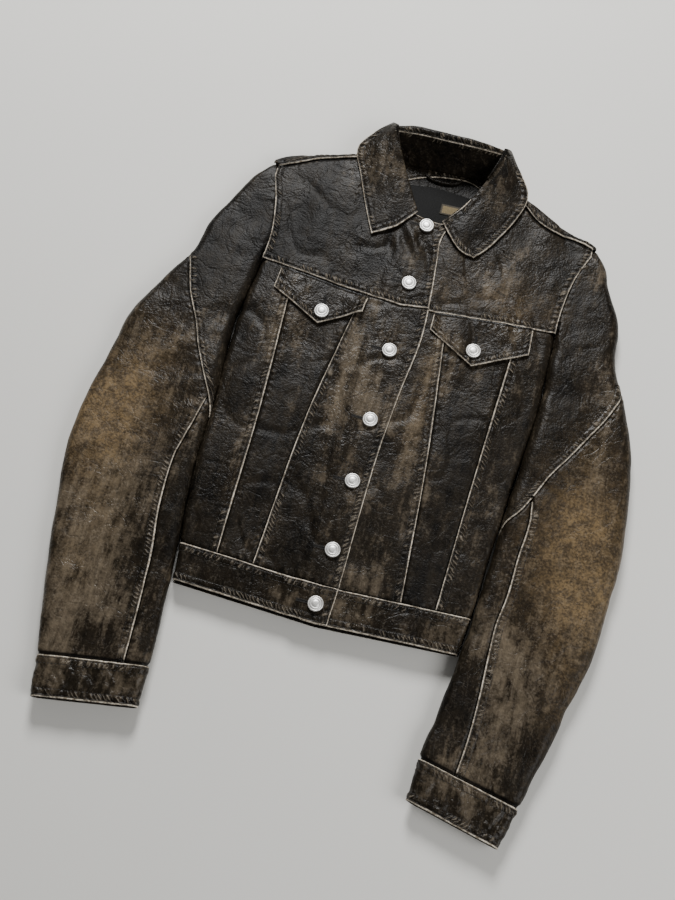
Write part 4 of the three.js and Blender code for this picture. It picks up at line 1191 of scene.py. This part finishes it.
def linings():
    """Dark twill inside the body, the pocket bags and the label in the neck."""
    for name, side in SIDES.items():
        sign = side.sign
        inner = -UNDERLAP - 9 if sign < 0 else 13.5
        outer = side_line(side, side.hem, side.yoke, -FOLD_RADIUS - 2)
        edges = between(side, lambda v, x=inner: x + 0 * v, outer)
        at = patch(side, edges, lambda x, s=side: s.hem(x) + 12, lambda x, s=side: s.yoke(x) + 100,
                   lambda x, y: np.stack([x, y, 0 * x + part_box("right_front_lining")[1][2] / MM], -1))
        cloth_piece(f"{name}_front_lining", Sheet(at, (0, 0, 1), 7), "root")
        xs = sorted((side.pocket[0][0], side.pocket[-1][0]))
        low = straight(side.pocket[1:-1] + [(side.pocket[-1][0], side.pocket[-2][1] + 12)])
        top = straight([side.pocket[0], side.pocket[-1]])
        ends = sorted((side.pocket[1][0], side.pocket[-2][0]))
        edges = [lambda v, a=a, b=b: lerp(a, b, v) for a, b in zip(ends, xs)]
        at = patch(side, edges,
                   low, top, lambda x, y: np.stack([x, y, 0 * x + top_of("right_pocket_bag")], -1))
        cloth_piece(f"{name}_pocket_bag", Sheet(at, (0, 0, 1), 4), "root", thickness=1.6)
    right, left = SIDES["right"], SIDES["left"]
    back_level = top_of("back_lining")
    at = patch(right, (side_line(right, right.hem, lambda x: BACK_YOKE_Y + 0 * x, -10),
                       side_line(left, left.hem, lambda x: BACK_YOKE_Y + 0 * x, -10)),
               lambda x: right.hem(x) + 12, lambda x: SHOULDERS(x) - 36,
               lambda x, y: np.stack([x, y, 0 * x + back_level], -1))
    cloth_piece("back_lining", Sheet(at, (0, 0, 1), 3.5), "root")
    at = patch(right, (lambda v: 14 + 0 * v, lambda v: 38 + 0 * v),
               lambda x: 322 + 0 * x, lambda x: 336 + 0 * x,
               lambda x, y: np.stack([x, y, 0 * x + top_of("neck_label")], -1))
    cloth_piece("neck_label", Sheet(at, (0, 0, 1), 1.2), "root", thickness=0.6, slot="label_cloth")


SHOULDERS = straight(PATTERN["right"]["shoulder"] + [(-45, 387), (5, 392), (55, 387)]
                     + PATTERN["left"]["shoulder"])


def back_panels():
    """The underside: a yoke, three panels and the back of the waistband, flat on the floor."""
    right, left = SIDES["right"], SIDES["left"]
    yoke_line = lambda x: BACK_YOKE_Y + 0 * x
    seam_right, seam_left = evenly([-72, -82, -92]), evenly([72, 82, 92])

    def flat(x, y):
        return np.stack([x, y, 0 * x], -1)

    def make(name, edges, bottom, top, sides, slot="body_leather", extra=()):
        at = patch(right, edges, bottom, top, flat)
        block, sheet = leather_block(at, sides, up=(0, 0, -1), cell=3.2, lay=on_floor, stitch_key="root")
        obj = build_mesh(name, [block, *extra])
        return finished(obj, slot, "root", replaces=[name])

    level = (right.waist, yoke_line)
    side_r, side_l = side_line(right, *level, -0.4), side_line(left, *level, -0.4)
    soft = [("fold", 1.0)]
    make("back_centre_panel", (seam_right, seam_left), *level,
         {"low": LAP, "high": LAP, "start": PLAIN, "end": PLAIN})
    make("right_back_side_panel", (side_r, seam_right), *level, {"low": soft, "high": PLAIN})
    make("left_back_side_panel", (seam_left, side_l), *level, {"low": PLAIN, "high": soft})
    band_sides = (side_line(right, right.hem, right.waist, -0.4),
                  side_line(left, left.hem, left.waist, -0.4))
    make("back_waistband", band_sides,
         right.hem, right.waist, {"low": soft, "high": soft, "start": EDGE, "end": LAP}, "trim_leather")
    strips = []
    for name, side in SIDES.items():
        inner = side.sign * 84
        seam_line = through(SHOULDER_SEAMS[name])
        tip = max((p[0] for p in side.shoulder), key=abs)
        hole = float(side.edge(seam_line(tip)))
        edges = between(side, lambda v, x=inner: x + 0 * v,
                        lambda v, a=hole, b=tip: lerp(a, 0.985 * b, ease(v, 0, 0.35)))
        at = patch(side, edges, seam_line, lambda x, s=side: s.shoulder_line(x) + FOLD_EXTRA,
                   lambda x, y, s=side: s.front(x, y, "shoulder"))
        sides = {"start": LAP, "end": PLAIN, **facing(side, PLAIN, FOLD)}
        strips.append(leather_block(at, sides, up=(0, 0.5, 1), stitch_key="root")[0])
    yoke_sides = (side_line(right, yoke_line, SHOULDERS, -0.4), side_line(left, yoke_line, SHOULDERS, -0.4))
    make("back_yoke", yoke_sides,
         yoke_line, SHOULDERS, {"low": soft, "high": soft, "start": LAP, "end": soft}, extra=strips)


BACK_COLLAR = (
    [(-60, 396, 40), (-30, 397.5, 41.5), (6, 396.5, 42), (42, 396.5, 41.5), (75, 396, 40)],
    [(-60, 401, 42), (-34, 406, 45), (6, 404.5, 45.4), (45, 404.5, 45), (76, 401, 42)],
    [(-66, 407, 34), (-36, 414, 33), (6, 411.5, 32), (46, 412, 33), (80, 405, 34)],
    [(-70, 411, 24), (-40, 420, 17), (6, 417, 13), (48, 418, 17), (83, 409, 24)],
)
STAND_FOOT = [(-27, 315, 21.5), (-54, 333, 21.5), (-84, 362, 20.8), (-66, 374, 7), (6, 377, 4.6),
              (70, 374, 7), (96, 357, 20.8), (77, 330, 21.5), (48, 315, 21.5)]
STAND_RIM = [(-12, 309, 22.6), (-34, 347, 26.6), (-57, 382, 35), (-52, 399, 41.5), (6, 399.5, 43),
             (64, 399, 41.5), (72, 382, 35), (49, 340, 26.6), (23, 304, 22.6)]
NECK_CENTRE = (6, 350, 60)
LOOP_PATH = [(-16, 373, 5.0), (-8, 366.5, 5.4), (7, 364, 5.8), (22, 366.5, 5.4), (30, 373, 5.0)]


def collar():
    """The two collar points, the back fall, the stand, the neck facing and the hanger loop."""
    for name, side in SIDES.items():
        roll, edge, front = (np.array(p, float) for p in (side.leaf_roll, side.leaf_edge, side.leaf_front))

        def at(u, v, roll=roll, edge=edge, front=front):
            a, b = roll[-1], edge[-1]
            f = spline(front, v)
            back = lerp(a, b, v[..., None])
            uu, vv = u[..., None], v[..., None]
            corner = (lerp(lerp(roll[0], roll[-1], uu), lerp(edge[0], edge[-1], uu), vv))
            point = (1 - vv) * spline(roll, u) + vv * spline(edge, u) + (1 - uu) * f + uu * back - corner
            crown = 2.4 * np.sin(math.pi * np.clip(v, 0, 1) ** 0.55) * (0.35 + 0.65 * u) + 0.7 * v
            return point + crown[..., None] * np.array([0, 0, 1.0])
        turned = FOLD if side.sign < 0 else [("edge", lambda u, v: 1 - ease(u, 0.35, 0.55))]
        outer = [("edge", lambda u, v: 1 - ease(u, 0.8, 0.97))]
        sides = {"low": EDGE, "high": PLAIN, "start": turned, "end": outer}
        obj, _ = leather_sheet(f"{name}_collar_point", at, sides, cell=1.7, relief=0.7,
                               stitch_key=f"{name}_leaf")
        finished(obj, "collar_leather", replaces=[f"{name}_collar_point"], blend=leaf_blend(name))

    curves = [np.array(curve, float) for curve in BACK_COLLAR]

    def back(u, v):
        weights = spline(np.eye(4), v)
        return sum(weights[..., k, None] * spline(curve, u) for k, curve in enumerate(curves))
    obj, _ = leather_sheet("back_collar", back, {"low": PLAIN, "high": PLAIN, "start": EDGE, "end": EDGE},
                           cell=1.7, relief=0.5, stitch_key="root")
    finished(obj, "collar_leather", "root", replaces=["back_collar"])

    stand = lambda u, v: lerp(spline(STAND_FOOT, u), spline(STAND_RIM, u), v[..., None])
    obj, _ = leather_sheet("collar_stand", stand, {"low": FOLD, "high": FOLD, "start": FOLD, "end": LAP},
                           toward=NECK_CENTRE, cell=1.9, relief=0.5, thickness=1.2)
    finished(obj, "collar_leather", "root", replaces=["collar_stand"])

    facing_top = top_of("neck_facing")
    bottom = through([(-44, 352), (-22, 363), (13, 372), (48, 370), (62, 361)])
    at = patch(SIDES["right"], (lambda v: -44 + 0 * v, lambda v: 60 + 0 * v), bottom,
               through([(-44, 379), (6, 386), (60, 379)]),
               lambda x, y: np.stack([x, y, 0 * x + facing_top], -1))
    obj, _ = leather_sheet("neck_facing", at, {"low": PLAIN, "high": PLAIN, "start": EDGE, "end": PLAIN},
                           relief=0.25, thickness=1.2)
    finished(obj, "trim_leather", "root", replaces=["neck_facing"])


    def strap(u, v):
        centre = spline(LOOP_PATH, v)
        step = spline(LOOP_PATH, np.clip(v + 0.01, 0, 1)) - spline(LOOP_PATH, np.clip(v - 0.01, 0, 1))
        across = np.stack([-step[..., 1], step[..., 0], 0 * v], -1)
        across /= np.linalg.norm(across, axis=-1, keepdims=True)
        return centre + across * ((u - 0.5) * 4.4)[..., None]
    obj, _ = leather_sheet("hanger_loop", strap, {"low": FOLD, "high": FOLD, "start": PLAIN, "end": PLAIN},
                           relief=0.1, thickness=1.2)
    finished(obj, "collar_leather", "loop", replaces=["hanger_loop"])


def revolve(profile, centre, low, sides=56, down=False):
    """A closed turned shape from (radius, height, hollow) rings, with its two ends on the axis."""
    profile = np.asarray(profile, float)
    angle = np.linspace(0, 2 * math.pi, sides, endpoint=False)
    rings = profile[1:-1]
    points = [np.array([[0, 0, profile[0, 1]]])]
    for radius, height, _ in rings:
        points.append(np.stack([radius * np.cos(angle), radius * np.sin(angle), height + 0 * angle], -1))
    points.append(np.array([[0, 0, profile[-1, 1]]]))
    points = np.concatenate(points)
    hollow = np.concatenate([[profile[0, 2]], np.repeat(rings[:, 2], sides), [profile[-1, 2]]])
    index = 1 + np.arange(len(rings) * sides).reshape(len(rings), sides)
    following = np.roll(index, -1, axis=1)
    quads = np.stack([index[:-1], following[:-1], following[1:], index[1:]], -1).reshape(-1, 4)
    first = np.stack([0 * index[0], following[0], index[0]], -1)
    last = np.stack([0 * index[0] + len(points) - 1, index[-1], following[-1]], -1)
    if down:
        points = points * [1, -1, -1]
    return points + [*centre, low], [quads, first, last], {"hollow": hollow}


BUTTON = [(0, -1.6, .6), (3.4, -1.6, .6), (4.4, -1.3, .5), (4.5, -0.6, .5), (4.1, -0.3, .7), (3.0, -0.3, .8),
          (3.0, 4.6, .9), (7.6, 4.6, .8), (8.3, 4.9, .5), (8.5, 5.5, .1), (8.5, 6.5, 0), (8.25, 7.2, 0),
          (7.8, 7.55, 0), (7.3, 7.6, 0), (6.95, 7.4, .5), (6.7, 7.1, .9), (6.4, 7.15, .8), (6.1, 7.35, .2),
          (5.2, 7.55, 0), (4.7, 7.5, .1), (4.4, 7.3, .7), (4.15, 7.35, .4), (3.4, 7.75, 0), (2.2, 8.0, 0),
          (1.2, 8.05, 0), (0, 8.05, 0)]


def buttons():
    """Turned pewter buttons: seven down the front, one on each flap and one under each cuff."""
    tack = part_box("front_button_1")[0][2] / MM + 1.6
    for i, (x, y) in enumerate(FRONT_BUTTONS, 1):
        z = tack + 0.55 * float(drape(x, y)) + 0.2
        obj = build_mesh(f"front_button_{i}", [revolve(BUTTON, (x, y), z)])
        finished(obj, "pewter_button", f"front_button_{i}_body", replaces=[f"front_button_{i}"])
    for name, (x, y) in FLAP_BUTTONS.items():
        z = sheet_height(HEIGHTS[f"{name}_flap"], x, y) - 4.4
        obj = build_mesh(f"{name}_flap_button", [revolve(BUTTON, (x, y), z)])
        finished(obj, "pewter_button", f"{name}_flap_button_body", replaces=[f"{name}_flap_button"])
        low, high = (np.array(c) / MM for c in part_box(f"{name}_cuff_button"))
        centre = (low + high) / 2
        profile = [(r, h * (7.3 / 9.65), dark) for r, h, dark in BUTTON]
        obj = build_mesh(f"{name}_cuff_button", [revolve(profile, centre[:2], high[2] - 1.21, down=True)])
        finished(obj, "pewter_button", f"{name}_cuff_button_body", replaces=[f"{name}_cuff_button"])


def on_front(points, lift=0.1):
    """A line on the front from plan points, with the way out of the leather."""
    plan = np.asarray(points, float)
    x, y = plan.T
    z = CHEST_TOP + OVERLAP_RISE * ease(x, -34, -20) * (x < 30) + drape(x, y)
    return np.column_stack([plan, z + lift]), np.tile([0, 0, 1.0], (len(plan), 1))


def dotted(points, count=60):
    """Plan points every few mm along straight runs."""
    points = np.asarray(points, float)
    step = np.r_[0, np.cumsum(np.linalg.norm(np.diff(points, axis=0), axis=1))]
    at = np.linspace(0, step[-1], count)
    return np.column_stack([np.interp(at, step, points[:, k]) for k in (0, 1)])


def overlap_level(x, y):
    return CHEST_TOP + OVERLAP_RISE + drape(x, y)


def slit(x, y, level, length, turn):
    """A dark lens of painted shade that stands for the open cut of a buttonhole, at level(x, y)."""
    def at(u, v):
        along = (u - 0.5) * length
        across = (v - 0.5) * 1.5 * np.sqrt(np.clip(1 - (2 * u - 1) ** 2, 0.02, 1))
        c, s = math.cos(turn), math.sin(turn)
        px, py = x + c * along - s * across, y + s * along + c * across
        return np.stack([px, py, level(px, py) + 0.3], -1)
    return at


SATIN_STITCH = (0.00095, 0.0008, 0.0022, 0.0008)
ZIGZAG_ROWS, ZIGZAG_STEP, ZIGZAG_WIDTH = 13, 22, 34
HOLE_LENGTH = {"root": 15.0, "flap": 13.0}
HOLE_OFFSET = {"root": 13.5, "flap": 13.0}
HOLE_SEAM = 1.15


def stitching(sizes):
    """Topstitching, buttonholes and the crossed stitches of the front facing."""
    topstitch = (sizes.stitch_pitch, sizes.stitch_length, sizes.stitch_width, sizes.stitch_height)
    for side in SIDES.values():
        outline = side.pocket[1:-1]
        ROWS.add("root", on_front(dotted(outline)))
        ROWS.add("root", on_front(dotted([(x, y + 5) for x, y in outline])))
    zigzag = [(-10 - ZIGZAG_WIDTH * (i % 2), 158 - ZIGZAG_STEP * i) for i in range(ZIGZAG_ROWS)]
    ROWS.add("root", on_front(dotted(zigzag, 300)))
    for key, lines in ROWS.lines.items():
        obj = sew(f"{key}_topstitching", lines, topstitch)
        if key.endswith("sleeve"):
            finished(obj, "dark_thread", blend=sleeve_blend(key.split("_")[0]))
        elif key.endswith("leaf"):
            finished(obj, "dark_thread", blend=leaf_blend(key.split("_")[0]))
        else:
            finished(obj, "dark_thread", key)
    holes = {"root": [], "right_flap": [], "left_flap": []}
    satin = {key: [] for key in holes}
    for x, y in FRONT_BUTTONS:
        holes["root"].append((x - HOLE_OFFSET["root"], y, overlap_level, HOLE_LENGTH["root"], 0.0))
    for name, (x, y) in FLAP_BUTTONS.items():
        level = np.vectorize(lambda px, py, s=HEIGHTS[f"{name}_flap"]: sheet_height(s, px, py))
        place = (x, y + HOLE_OFFSET["flap"], level, HOLE_LENGTH["flap"], math.pi / 2)
        holes[f"{name}_flap"].append(place)
    for key, places in holes.items():
        blocks = []
        for x, y, level, length, turn in places:
            sheet = Sheet(slit(x, y, level, length, turn), (0, 0, 1), 1.0)
            blocks.append(sheet_block(sheet, 0.4, {"edge": (sheet.distance["low"], 40.0)}))
            c, s = math.cos(turn), math.sin(turn)
            for away in (-HOLE_SEAM, HOLE_SEAM):
                t = np.linspace(-0.5, 0.5, 24) * length
                px, py = x + c * t - s * away, y + s * t + c * away
                line = np.column_stack([px, py, level(px, py) + 0.25])
                satin[key].append((line, np.tile([0, 0, 1.0], (24, 1))))
        # The cuts are dark sheets of painted shade.
        finished(build_mesh(f"{key}_buttonholes", blocks), "lining_cloth", key)
        obj = sew(f"{key}_buttonhole_stitches", satin[key], SATIN_STITCH, seed=3)
        finished(obj, "dark_thread", key)


# ---- Sizes and colours that a maker would change
def colour_property(name, description, default):
    return bpy.props.FloatVectorProperty(name=name, description=description, default=default,
                                         subtype="COLOR", size=3, min=0.0, max=1.0)


class JacketColours(bpy.types.PropertyGroup):
    # The tone ramp runs from dark to pale: partly random tone and real fading, partly painted shade and
    # painted sheen.
    dark: colour_property("Dark leather", "Leather in its darkest patches", (0.0034, 0.0027, 0.002))
    middle: colour_property("Leather", "Leather over most of a panel", (0.0155, 0.0118, 0.0076))
    pale: colour_property("Pale leather", "Leather where the finish has thinned", (0.125, 0.099, 0.068))
    # ridge is the pale of worn crests and scratches, and also the painted highlight on pucker crests.
    ridge: colour_property("Worn ridge", "Crests of the puckers", (0.2, 0.17, 0.13))
    # shade is painted shade in hollows, stitch grooves and seam steps.
    shade: colour_property("Hollow", "Hollows and seams", (0.003, 0.0026, 0.0022))
    cream: colour_property("Worn edge", "Raw leather along worn edges", (0.7, 0.63, 0.52))
    cream_dark: colour_property("Soiled edge", "Worn edges where they are soiled", (0.25, 0.205, 0.15))
    tan: colour_property("Tan rub", "Elbows, rubbed through the finish", (0.185, 0.125, 0.06))
    tan_dark: colour_property("Dark tan rub", "Darker flecks of the elbows", (0.085, 0.06, 0.034))
    lining_dark: colour_property("Lining", "Twill lining", (0.004, 0.004, 0.004))
    lining_light: colour_property("Lining rib", "Ribs of the twill", (0.009, 0.009, 0.0085))
    pewter: colour_property("Pewter", "Button metal", (0.95, 0.94, 0.91))
    pewter_dark: colour_property("Dull pewter", "Duller patches of the metal", (0.78, 0.77, 0.73))
    tarnish: colour_property("Tarnish", "Hollows of the button relief", (0.1, 0.09, 0.08))
    label: colour_property("Label", "Woven patch", (0.12, 0.085, 0.035))
    label_light: colour_property("Label thread", "Raised threads of the patch", (0.24, 0.18, 0.08))
    thread: colour_property("Thread", "Topstitching", (0.012, 0.010, 0.009))
    thread_light: colour_property("Thread strand", "Lighter strand of the thread", (0.03, 0.026, 0.022))
    floor: colour_property("Floor", "Plain floor", (0.78, 0.77, 0.73))


class JacketSizes(bpy.types.PropertyGroup):
    camera_height: bpy.props.FloatProperty(name="Camera height", default=1.2665, unit="LENGTH",
                                           description="Height of the camera above the floor")
    key_light: bpy.props.FloatProperty(name="Main light", default=68.0, unit="POWER",
                                       description="Strength of the large light overhead")
    stitch_pitch: bpy.props.FloatProperty(name="Stitch pitch", description="From one stitch to the next",
                                          default=0.0042, unit="LENGTH")
    stitch_length: bpy.props.FloatProperty(name="Stitch length", default=0.003, unit="LENGTH",
                                           description="Length of one stitch that shows")
    stitch_width: bpy.props.FloatProperty(name="Thread width", description="Width of the thread as it lies",
                                          default=0.00075, unit="LENGTH")
    stitch_height: bpy.props.FloatProperty(name="Thread height", description="Height of a stitch's bead",
                                           default=0.0006, unit="LENGTH")
    fill_light: bpy.props.FloatProperty(name="Fill light",
                                        description="Strength of the light from all round",
                                        default=0.17)


class JacketOperator:
    bl_options = {"REGISTER", "UNDO"}


LIGHTS = (("overhead_light", (-0.4, 1.75, 1.45), 0.8, 1.0), ("side_light", (1.6, -0.6, 1.5), 1.4, 0.42))
CAMERA_PLAN, CAMERA_TARGET = (0.0915, -0.4455), (-0.027, 0.002, 0)
CAMERA_LENS, CAMERA_SENSOR = 48.52, 36
FLOOR_LEVEL = -0.0006


class JACKET_OT_stage(JacketOperator, bpy.types.Operator):
    """Add the floor, the soft lights and the camera."""
    bl_idname = "jacket.stage"
    bl_label = "Stage"

    def execute(self, context):
        colours, sizes = context.scene.jacket_colours, context.scene.jacket_sizes
        f = Finish("plain_floor")
        cloud = f.noise(0.3, 2)
        base = tuple(colours.floor)
        material = f.surface(Base_Color=f.mix(cloud, tuple(c * 0.95 for c in base), base), Roughness=0.85)
        corners = [(x, y, FLOOR_LEVEL) for x, y in ((-3, -3), (3, -3), (3, 3), (-3, 3))]
        points = np.array(corners) / MM
        floor = build_mesh("floor", [(points, [np.array([[0, 1, 2, 3]])], {})])
        floor.data.materials.append(material)
        for name, place, size, share in LIGHTS:
            data = bpy.data.lights.new(name, "AREA")
            data.shape, data.size, data.energy = "DISK", size, sizes.key_light * share
            light = bpy.data.objects.new(name, data)
            light.location = place
            light.rotation_euler = (-Vector(place)).to_track_quat("-Z", "Y").to_euler()
            context.scene.collection.objects.link(light)
        world = bpy.data.worlds.new("soft_sky")
        world.use_nodes = True
        world.node_tree.nodes["Background"].inputs["Color"].default_value = (1.0, 0.99, 0.97, 1)
        world.node_tree.nodes["Background"].inputs["Strength"].default_value = sizes.fill_light
        context.scene.world = world
        data = bpy.data.cameras.new("camera")
        data.lens, data.sensor_width, data.clip_end = CAMERA_LENS, CAMERA_SENSOR, 20
        camera = bpy.data.objects.new("camera", data)
        camera.location = (*CAMERA_PLAN, sizes.camera_height)
        looking = Vector(CAMERA_TARGET) - camera.location
        camera.rotation_euler = looking.to_track_quat("-Z", "Y").to_euler()
        context.scene.collection.objects.link(camera)
        context.scene.camera = camera
        return {"FINISHED"}


class JACKET_OT_finishes(JacketOperator, bpy.types.Operator):
    """Make the leathers, cloths, metal and thread."""
    bl_idname = "jacket.finishes"
    bl_label = "Finishes"

    def execute(self, context):
        colours = context.scene.jacket_colours
        c = {key: tuple(getattr(colours, key)) for key in JacketColours.__annotations__}
        darker = lambda colour, share: tuple(v * share for v in colour)
        FINISHES["body_leather"] = leather_finish("body_leather", c, c["dark"], c["middle"], c["pale"])
        collar = (c["dark"], darker(c["middle"], 0.9), darker(c["pale"], 0.85))
        FINISHES["collar_leather"] = leather_finish("collar_leather", c, *collar, gloss=0.02)
        trim = (darker(c["dark"], 0.85), darker(c["middle"], 0.95), darker(c["pale"], 0.85))
        FINISHES["trim_leather"] = leather_finish("trim_leather", c, *trim, gloss=0.07)
        FINISHES["lining_cloth"] = lining_finish("lining_cloth", c)
        FINISHES["pewter_button"] = metal_finish("pewter_button", c)
        FINISHES["dark_thread"] = thread_finish("dark_thread", c, "thread")
        FINISHES["label_cloth"] = label_finish("label_cloth", c)
        return {"FINISHED"}


class JACKET_OT_fronts(JacketOperator, bpy.types.Operator):
    """Make the yokes, upright panels and waistband of both fronts."""
    bl_idname = "jacket.fronts"
    bl_label = "Fronts"

    def execute(self, context):
        for name in SIDES:
            front_panels(name)
        return {"FINISHED"}


class JACKET_OT_flaps(JacketOperator, bpy.types.Operator):
    """Make the two pointed chest flaps."""
    bl_idname = "jacket.flaps"
    bl_label = "Pocket flaps"

    def execute(self, context):
        for name in SIDES:
            pocket_flap(name)
        return {"FINISHED"}


class JACKET_OT_sleeves(JacketOperator, bpy.types.Operator):
    """Make the sleeves with their cuffs and linings."""
    bl_idname = "jacket.sleeves"
    bl_label = "Sleeves"

    def execute(self, context):
        for name in SIDES:
            sleeve(name)
        return {"FINISHED"}


class JACKET_OT_back(JacketOperator, bpy.types.Operator):
    """Make the back yoke, panels and waistband."""
    bl_idname = "jacket.back"
    bl_label = "Back"

    def execute(self, context):
        back_panels()
        return {"FINISHED"}


class JACKET_OT_collar(JacketOperator, bpy.types.Operator):
    """Make the collar, the neck facing and the hanger loop."""
    bl_idname = "jacket.collar"
    bl_label = "Collar"

    def execute(self, context):
        collar()
        return {"FINISHED"}


class JACKET_OT_linings(JacketOperator, bpy.types.Operator):
    """Make the linings, the pocket bags and the label."""
    bl_idname = "jacket.linings"
    bl_label = "Linings"

    def execute(self, context):
        linings()
        return {"FINISHED"}


class JACKET_OT_buttons(JacketOperator, bpy.types.Operator):
    """Turn the front, flap and cuff buttons."""
    bl_idname = "jacket.buttons"
    bl_label = "Buttons"

    def execute(self, context):
        buttons()
        return {"FINISHED"}


class JACKET_OT_stitching(JacketOperator, bpy.types.Operator):
    """Sew the topstitching and the buttonholes."""
    bl_idname = "jacket.stitching"
    bl_label = "Stitching"

    def execute(self, context):
        stitching(context.scene.jacket_sizes)
        return {"FINISHED"}


STEPS = (JACKET_OT_stage, JACKET_OT_finishes, JACKET_OT_fronts, JACKET_OT_flaps, JACKET_OT_sleeves,
         JACKET_OT_back, JACKET_OT_collar, JACKET_OT_linings, JACKET_OT_buttons, JACKET_OT_stitching)


class JACKET_PT_panel(bpy.types.Panel):
    """Lists the steps that make the jacket, and its colours and sizes."""
    bl_idname = "JACKET_PT_panel"
    bl_label = "Jacket"
    bl_space_type = "VIEW_3D"
    bl_region_type = "UI"
    bl_category = "Jacket"

    def draw(self, context):
        for operator in STEPS:
            self.layout.operator(operator.bl_idname)
        for group in (context.scene.jacket_sizes, context.scene.jacket_colours):
            for key in type(group).__annotations__:
                self.layout.prop(group, key)


CLASSES = (JacketColours, JacketSizes, *STEPS, JACKET_PT_panel)


def register():
    for item in CLASSES:
        bpy.utils.register_class(item)
    bpy.types.Scene.jacket_colours = bpy.props.PointerProperty(type=JacketColours)
    bpy.types.Scene.jacket_sizes = bpy.props.PointerProperty(type=JacketSizes)


def unregister():
    del bpy.types.Scene.jacket_colours, bpy.types.Scene.jacket_sizes
    for item in reversed(CLASSES):
        bpy.utils.unregister_class(item)


def main():
    register()
    for step in STEPS:
        getattr(bpy.ops.jacket, step.bl_idname.split(".")[1])()


if __name__ == "__main__":
    main()
